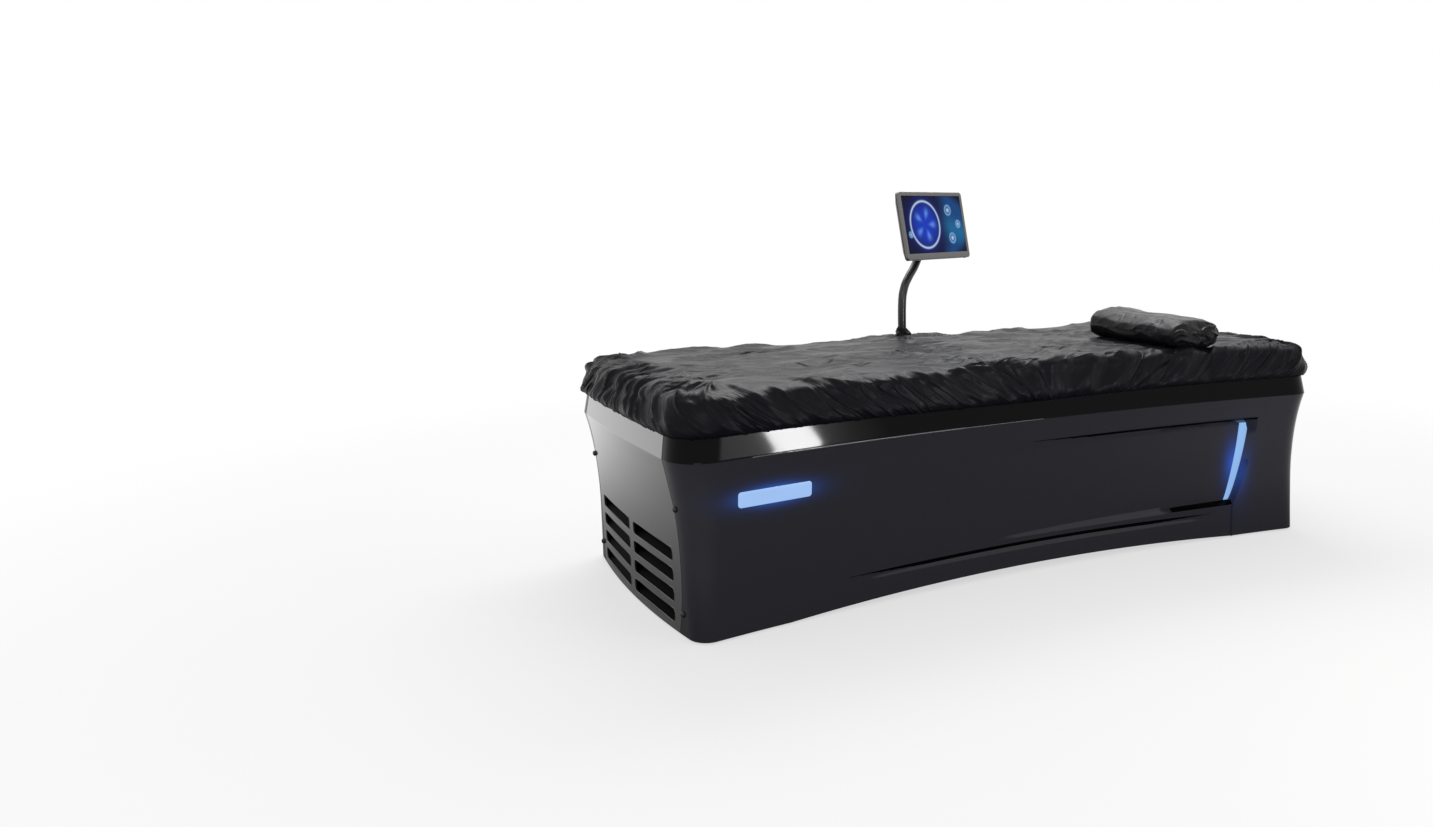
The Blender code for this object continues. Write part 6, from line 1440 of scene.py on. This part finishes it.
def roll_gathers(points, normals):
    """Folds of the roll, along its normals: pinched gathers that run in to the middle of each
    end, a turned-in spiral there, and long creases along the body."""
    x, y, z = points.T
    share = np.abs(y) / (ROLL_LENGTH / 2)
    at_end = smoothstep(0.80, 0.95, share) * np.where(np.abs(normals[:, 1]) > 0.5, 1.0, 0.7)
    # the roll is wider than high, so its width is read at 0.6 to make the gathers even
    turn = np.arctan2(z - ROLL_MIDDLE_Z, x * 0.6)
    radius = np.hypot(z - ROLL_MIDDLE_Z, x * 0.6)
    spiral = turn + 16 * radius * at_end
    around = spiral * ROLL_GATHERS / (2 * math.pi)
    pinch = creases(around, radius / 0.06 + 3 * (y > 0), 41, ROLL_GATHERS)
    body = creases(y / 0.30, turn * 0.9 + 0.5 * noise_at(y / 0.20, turn, 43), 44)
    slack_folds = creases(*turned(y, turn * 0.06, 20, 0.045, 0.16), 45)
    deep = 0.0095 * (pinch - 0.35) * at_end + (0.0030 * body + 0.0014 * slack_folds) * (1 - at_end)
    hump = 0.005 * smoothstep(0.10, 0.26, y) * smoothstep(0.05, 0.09, z)
    lifted = smoothstep(0.000, 0.020, z)
    moved = points + normals * (deep * lifted)[:, None]
    moved[:, 2] += hump
    return moved


plain, normals = vectors(roll.data.vertices, "co"), vectors(roll.data.vertex_normals, "vector")
points = roll_gathers(plain, normals)
cosine, sine = math.cos(ROLL_TURN), math.sin(ROLL_TURN)
x = points[:, 0] * cosine - points[:, 1] * sine + ROLL_CENTRE[0]
y = points[:, 0] * sine + points[:, 1] * cosine + ROLL_CENTRE[1]
z = np.maximum(points[:, 2], 0.0) + COVER_TOP - ROLL_SINK + GAP
roll.data.vertices.foreach_set("co", np.column_stack([x, y, z]).ravel())
roll.data.polygons.foreach_set("use_smooth", np.ones(len(roll.data.polygons), bool))
roll.data.update()
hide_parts("neck_pillow")
print("roll:", len(roll.data.polygons), "faces")

# %% [markdown]
# ## The post, its cuff and the monitor
# The post is a powder-coated steel tube, so it has a soft long highlight and a very fine
# orange-peel grain. Its cuff is a bunch of the cover's satin. The monitor's bezel is silver-grey
# painted plastic, and its screen shows a plain made-up picture: a soft ring on deep blue, and a
# few dots beside it.

# %% Post and cuff
post_finish = plain_finish(
    "powder_coated_steel_black", "161618", "161618", 0.30, 0.0, 0.0012, 0.00006, detail=2.0
)
HINGE = np.array(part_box("tilt_pin")).mean(0)
SOCKET_DEPTH, SOCKET_FLOOR, KNUCKLE_BELOW = 0.196, 0.006, 0.0485
STRAIGHT_OVER_COVER, EASED = 0.120, 0.012
POST_FOOT = RIM_TOP - SOCKET_DEPTH + SOCKET_FLOOR + GAP
# the bend: shares of the way over to the hinge, and of the rise to it
LEAN_SHARES = ((0.12, 0.25), (0.36, 0.44), (0.64, 0.60), (0.85, 0.76), (0.97, 0.90), (1.0, 1.0))


def curve_through(route, count):
    """Catmull-Rom: between two marks the curve is a cubic that also reads their neighbours."""
    route = np.asarray(route, float)
    ends = np.concatenate([[2 * route[0] - route[1]], route, [2 * route[-1] - route[-2]]])
    k = np.linspace(0, len(route) - 1, count)
    i = np.minimum(k.astype(int), len(route) - 2)
    t = (k - i)[:, None]
    a, b, c, d = (ends[i + n] for n in range(4))
    square, cube = 2 * a - 5 * b + 4 * c - d, 3 * b - a - 3 * c + d
    return 0.5 * (2 * b + (c - a) * t + square * t**2 + cube * t**3)


def swept(path, radius, sides):
    """A round tube along a path: radius times cosine and sine in a frame that never twists."""
    along = np.gradient(path, axis=0)
    along /= np.linalg.norm(along, axis=1)[:, None]
    first = np.cross(along, [0.3, -1.0, 0.0])
    first /= np.linalg.norm(first, axis=1)[:, None]
    second = np.cross(along, first)
    turn = np.linspace(0, 2 * math.pi, sides, endpoint=False)
    cosine, sine = np.cos(turn)[None, :, None], np.sin(turn)[None, :, None]
    ring = first[:, None, :] * cosine + second[:, None, :] * sine
    return strip(path, radius * ring)


lean = HINGE[:2] - (POST_X, POST_Y)
tip = HINGE[2] - KNUCKLE_BELOW
straight_top = COVER_TOP + STRAIGHT_OVER_COVER
rise = tip - EASED - straight_top
route = [
    (POST_X, POST_Y, z)
    for z in (POST_FOOT, (POST_FOOT + straight_top) / 2, straight_top - EASED)
]
route += [
    (POST_X + lean[0] * a, POST_Y + lean[1] * a, straight_top + rise * b) for a, b in LEAN_SHARES
]
path = np.concatenate([curve_through(route, 90), [[HINGE[0], HINGE[1], tip]]])
post = free_piece(
    "bent_post", [swept(path, POST_RADIUS, 40)], "post", "post_coat", [post_finish]
)
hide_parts("monitor_post")

CUFF_COLUMNS, CUFF_ROWS, CUFF_LOBES = 120, 34, 8
CUFF_OVER_COVER, CUFF_HEIGHT, CUFF_DIP = 0.0025, 0.030, 0.006
CUFF_GAP, CUFF_SPREAD, CUFF_FOLD, CUFF_WALL = 0.0014, 0.0120, 0.0060, 0.0007
turn = np.linspace(0, 2 * math.pi, CUFF_COLUMNS, endpoint=False)[:, None]
level = np.linspace(0, 1, CUFF_ROWS)[None, :]
lobe = turn / (2 * math.pi)
bunch = creases(lobe * CUFF_LOBES, level * 1.3, 51, CUFF_LOBES)
bunch = bunch + 0.5 * noise_at(lobe * 5, level * 2.5, 52, 5)
lump = 0.5 + 0.5 * np.cos(turn + 0.9)
# wide where it lies on the cover, close round the post at its top, and lower on one side
swell = CUFF_SPREAD * (1 - level) ** 1.1 * (0.6 + 0.7 * lump)
swell = swell + 0.0015 * np.sin(5 * level + 2 * turn) * (1 - level)
folds = CUFF_FOLD * np.clip(bunch, -0.15, 1.2) * (1 - level) ** 0.5 * (level < 1)
radius = POST_RADIUS + CUFF_GAP + swell + folds
height = COVER_TOP + CUFF_OVER_COVER + (CUFF_HEIGHT - CUFF_DIP * lump) * level
points = np.stack([POST_X + radius * np.cos(turn), POST_Y + radius * np.sin(turn), height], -1)
faces = quads(CUFF_COLUMNS, CUFF_ROWS, around=True)
cuff = piece("gathered_cuff", points, faces, "bed", "cover_fabric", [cover_satin])
walled(cuff, CUFF_WALL)
settled(cuff)
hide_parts("post_cuff")
print("post and cuff made")

# %% Monitor
MONITOR = (0.365, 0.236)
YAW, TILT = math.radians(22.5), math.radians(11)
BEZEL_DEPTH, BEZEL_SIDE, BEZEL_TOP, BEZEL_BOTTOM = 0.010, 0.013, 0.014, 0.022
right_way = np.array([math.cos(YAW), math.sin(YAW), 0])
level_out = np.array([math.sin(YAW), -math.cos(YAW), 0])
out_way = level_out * math.cos(TILT) + np.array([0, 0, math.sin(TILT)])
up_way = np.cross(out_way, right_way)
MIDDLE = np.array([POST_X + 0.132, POST_Y - 0.0083, COVER_TOP + 0.384])


def on_monitor(x, y, z):
    """From the monitor's own right, up and outward measures to the bed's frame."""
    x, y, z = (np.asarray(measure)[..., None] for measure in (x, y, z))
    return MIDDLE + x * right_way + y * up_way + z * out_way


# half sizes of the bezel's opening, and how far its middle lies over the monitor's
screen_x = MONITOR[0] / 2 - BEZEL_SIDE
screen_y = MONITOR[1] / 2 - (BEZEL_TOP + BEZEL_BOTTOM) / 2
screen_lift = (BEZEL_BOTTOM - BEZEL_TOP) / 2
BEZEL_CORNER, OPENING_CORNER = 0.012, 0.002
# growth past the outline, and depth: up the outer edge, then down the opening's
OUTER_EDGE = ((0.0, -BEZEL_DEPTH), (0.0, -0.0016), (-0.0006, -0.0006), (-0.0016, 0.0))
OPENING_EDGE = ((0.0014, 0.0), (0.0004, -0.0006), (0.0, -0.0018), (0.0, -BEZEL_DEPTH))
edges = (
    (MONITOR[0] / 2, MONITOR[1] / 2, BEZEL_CORNER, 0.0, OUTER_EDGE),
    (screen_x, screen_y, OPENING_CORNER, screen_lift, OPENING_EDGE),
)
rings = []
for half_a, half_b, corner, lift, profile in edges:
    for grow, deep in profile:
        ring = round_outline(half_a + grow, half_b + grow, corner + grow, centre=(0.0, lift))
        rings.append(on_monitor(ring[:, 0], ring[:, 1], np.full(len(ring), deep)))
rings = np.array(rings)
faces = quads(len(rings), rings.shape[1], around=True, along=True)[:, ::-1]
bezel_finish = plain_finish(
    "painted_abs_silver_grey", "676564", "777573", 0.32, 0.55, 0.0015, 0.00003, detail=2.0
)
bezel = piece("monitor_frame", rings, faces, "monitor", "bezel_silver", [bezel_finish])
bezel.data.set_sharp_from_angle(angle=math.radians(40))
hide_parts("monitor_bezel")
print("bezel made")


# %% The screen's picture
def rgb(code):
    """A screen colour's linear red, green and blue as an array."""
    return np.array(linear(code)[:3])


# share across, share up and radius of each dot
DOTS = ((0.76, 0.75, 0.17), (0.91, 0.50, 0.12), (0.78, 0.25, 0.17), (0.08, 0.33, 0.09))


def screen_colour(u, v):
    """Colour at each share across (u) and up (v): blue field, soft ring, dots at the right."""
    aspect = screen_x / screen_y
    x, y = (u - 0.34) * 2 * aspect, (v - 0.50) * 2
    far = np.hypot(x, y)
    deep, pale, dot = rgb("040A38"), rgb("C9DCF4"), rgb("6FA8DC")
    field = mix(rgb("1035B0"), deep, smoothstep(0.25, 1.15, far)[..., None])
    streak = (0.5 + 0.5 * np.sin(9 * v + 5 * u)) * smoothstep(1.0, 0.4, v)
    wash = mix(rgb("0A3F78"), rgb("14608F"), streak[..., None])
    colour = mix(field, wash, smoothstep(0.56, 0.80, u)[..., None])
    ring = np.exp(-(((far - 0.82) / 0.035) ** 2))[..., None]
    colour = mix(colour, pale, ring * 0.85)
    leaf = np.exp(-(((far - 0.40) / 0.16) ** 2)) * (0.5 + 0.5 * np.cos(5 * np.arctan2(y, x))) ** 3
    colour = mix(colour, rgb("5F8FE8"), (leaf * 0.8)[..., None])
    for place_u, place_v, size in DOTS:
        near = np.hypot((u - place_u) * 2 * aspect, (v - place_v) * 2)
        rim = np.exp(-(((near - size) / 0.030) ** 2))
        heart = np.exp(-((near / (size * 0.45)) ** 2))
        colour = mix(colour, dot, rim[..., None] * 0.95)
        colour = mix(colour, pale, heart[..., None] * 0.85)
    corner = smoothstep(1.02, 1.35, np.hypot((u - 0.5) * 2, (v - 0.5) * 2))[..., None]
    return mix(colour, deep * 0.6, corner)


nu, nv = 221, 141
u, v = np.meshgrid(np.linspace(0, 1, nu), np.linspace(0, 1, nv), indexing="ij")
x = (u * 2 - 1) * (screen_x - GAP)
y = (v * 2 - 1) * (screen_y - GAP) + screen_lift
SCREEN_FRONT, SCREEN_THICKNESS = 0.0075, 0.0074
points = on_monitor(x, y, np.full_like(x, SCREEN_FRONT - BEZEL_DEPTH))

screen_finish, tree = new_tree("lit_glass_screen")
picture = add(tree, "ShaderNodeAttribute", attribute_name="Picture")
_, bump = bumped(tree, 0.2, 0.00002, 1.0)
shader = add(
    tree, "ShaderNodeBsdfPrincipled",
    {
        "Base Color": linear("030305"), "Roughness": 0.08, "Specular IOR Level": 0.06,
        "Normal": bump.outputs[0], "Emission Color": picture.outputs["Color"],
        "Emission Strength": 1.0,
    },
)
add(tree, "ShaderNodeOutputMaterial", {"Surface": shader.outputs[0]})
screen = piece("screen_picture", points, quads(nu, nv), "monitor", "screen_glass", [screen_finish])
colours = np.ones((nu * nv, 4), np.float32)
colours[:, :3] = screen_colour(u, v).reshape(-1, 3)
layer = screen.data.color_attributes.new("Picture", "FLOAT_COLOR", "POINT")
layer.data.foreach_set("color", colours.ravel())
walled(screen, SCREEN_THICKNESS)
settled(screen)
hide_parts("screen_glass")
print("screen:", len(screen.data.polygons), "faces")

# %% [markdown]
# ## Screws
# Black plastic caps cover the screws beside the seams. Each is a small dome: a profile turned
# round an axis that stands square to the end face, at the middle of the CAD screw's head. A UV
# sphere cut in half would do too, but a turned profile gives the cap its small brim.

# %% Screw caps
cap_finish = plain_finish(
    "moulded_nylon_cap", "0B0B0C", "0B0B0C", 0.42, 0.0, 0.0008, 0.00005, detail=2.0
)
CAP_RADIUS, CAP_HEIGHT, CAP_BRIM = 0.0082, 0.0075, 0.2
CAP_SIDES, CAP_ROWS, CAP_PROUD, PROBE = 32, 12, 0.0004, 0.01
cap_rows = np.linspace(0, 1, CAP_ROWS)[None, :]
turn = np.linspace(0, 2 * math.pi, CAP_SIDES, endpoint=False)[:, None]
# the brim is a straight wall, and the dome over it a quarter of an ellipse
domed = np.clip((cap_rows - CAP_BRIM) / (1 - CAP_BRIM), 0, 1) * math.pi / 2
cap_radius = CAP_RADIUS * np.cos(0.99 * domed)
cap_lift = CAP_HEIGHT * (np.minimum(cap_rows, CAP_BRIM) + (1 - CAP_BRIM) * np.sin(domed))
cap_feet = np.arange(CAP_SIDES) * CAP_ROWS
cap_faces = quads(CAP_SIDES, CAP_ROWS, around=True)[:, ::-1].tolist()
cap_faces += [(cap_feet + CAP_ROWS - 1)[::-1].tolist(), cap_feet.tolist()]
screws = [
    (end, way, f"{end}_{side}_{level}")
    for end, way in (("foot", -1), ("head", 1))
    for side in ("near", "far")
    for level in ("upper", "lower")
]
for end, way, name in screws:
    _, y, z = np.array(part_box(f"panel_screw_{name}")).mean(0)
    slope = (end_x(y + PROBE, z) - end_x(y - PROBE, z)) / (2 * PROBE)
    rise = (end_x(y, z + PROBE) - end_x(y, z - PROBE)) / (2 * PROBE)
    axis = np.array([way, -slope, -rise]) / np.linalg.norm([1, slope, rise])
    flat_way = np.cross(axis, (0, 0, 1.0))
    flat_way /= np.linalg.norm(flat_way)
    up = np.cross(flat_way, axis)
    ring = flat_way * np.cos(turn)[..., None] + up * np.sin(turn)[..., None]
    middle = np.array([way * (end_x(y, z) + CAP_PROUD), y, z])
    points = middle + ring * cap_radius[..., None] + axis * cap_lift[..., None]
    cap = free_piece(
        f"screw_cap_{name}", [(points.reshape(-1, 3), cap_faces)], "bed", "black_rubber",
        [cap_finish],
    )
    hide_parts(f"panel_screw_{name}")
print("screw caps made")

# %% [markdown]
# ## Finishes of the working parts
# Behind the shell everything is a plain engineering material: powder-coated steel tube, zinc
# plate, stainless shafts, rotomoulded polyethylene, rubber, moulded nylon, and cast or painted
# motor housings. Each gets its colour, its roughness and a grain of the right size.

# %% Working finishes
finishes = {
    "gloss_shell": shell_painted_light["far"],
    "end_panel": end_painted_reflection,
    "black_rubber": cap_finish,
    "lit_lens": bar_lens,
    "foam": plain_finish("closed_cell_foam", "343438", "424246", 0.85, 0.0, 0.002, 0.0002),
    "cover_fabric": cover_satin,
    "post_coat": post_finish,
    "bezel_silver": bezel_finish,
    "screen_glass": screen_finish,
}
# slot, name, dark and pale tone, roughness, metallic, grain and its height in metres
WORKING = (
    ("powder_coat", "powder_coated_tube", "343639", "404245", 0.45, 0.0, 0.0015, 0.00008),
    ("zinc_steel", "zinc_plated_steel", "A2A5A9", "B4B7BB", 0.35, 1.0, 0.004, 0.00002),
    ("tank_plastic", "rotomoulded_polyethylene", "CFD2D4", "DCDEE0", 0.5, 0.0, 0.004, 0.0002),
    ("membrane_rubber", "calendered_rubber", "26282C", "303236", 0.55, 0.0, 0.003, 0.00005),
    ("carriage_plastic", "moulded_nylon_grey", "474B50", "52565B", 0.42, 0.0, 0.001, 0.00004),
    ("pump_paint", "hammered_blue_enamel", "233B55", "2C4866", 0.35, 0.1, 0.005, 0.0002),
    ("motor_alloy", "cast_aluminium", "868A8E", "969A9E", 0.45, 0.9, 0.002, 0.0001),
    ("fan_plastic", "moulded_polypropylene", "161618", "1E1E20", 0.45, 0.0, 0.001, 0.00004),
    ("monitor_plastic", "textured_abs_black", "101012", "18181A", 0.40, 0.0, 0.0012, 0.00008),
)
finishes |= {slot: plain_finish(*settings) for slot, *settings in WORKING}
finishes["stainless"] = plain_finish(
    "brushed_stainless", "ABADB0", "C0C2C5", 0.28, 1.0, 0.002, 0.00002, stretch=(0.05, 1, 1)
)
for name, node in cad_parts.items():
    for slot in node.material_slots:
        slot.material = finishes[slot.material.name.split(".")[0]]
print("finishes on", len(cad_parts), "CAD nodes")
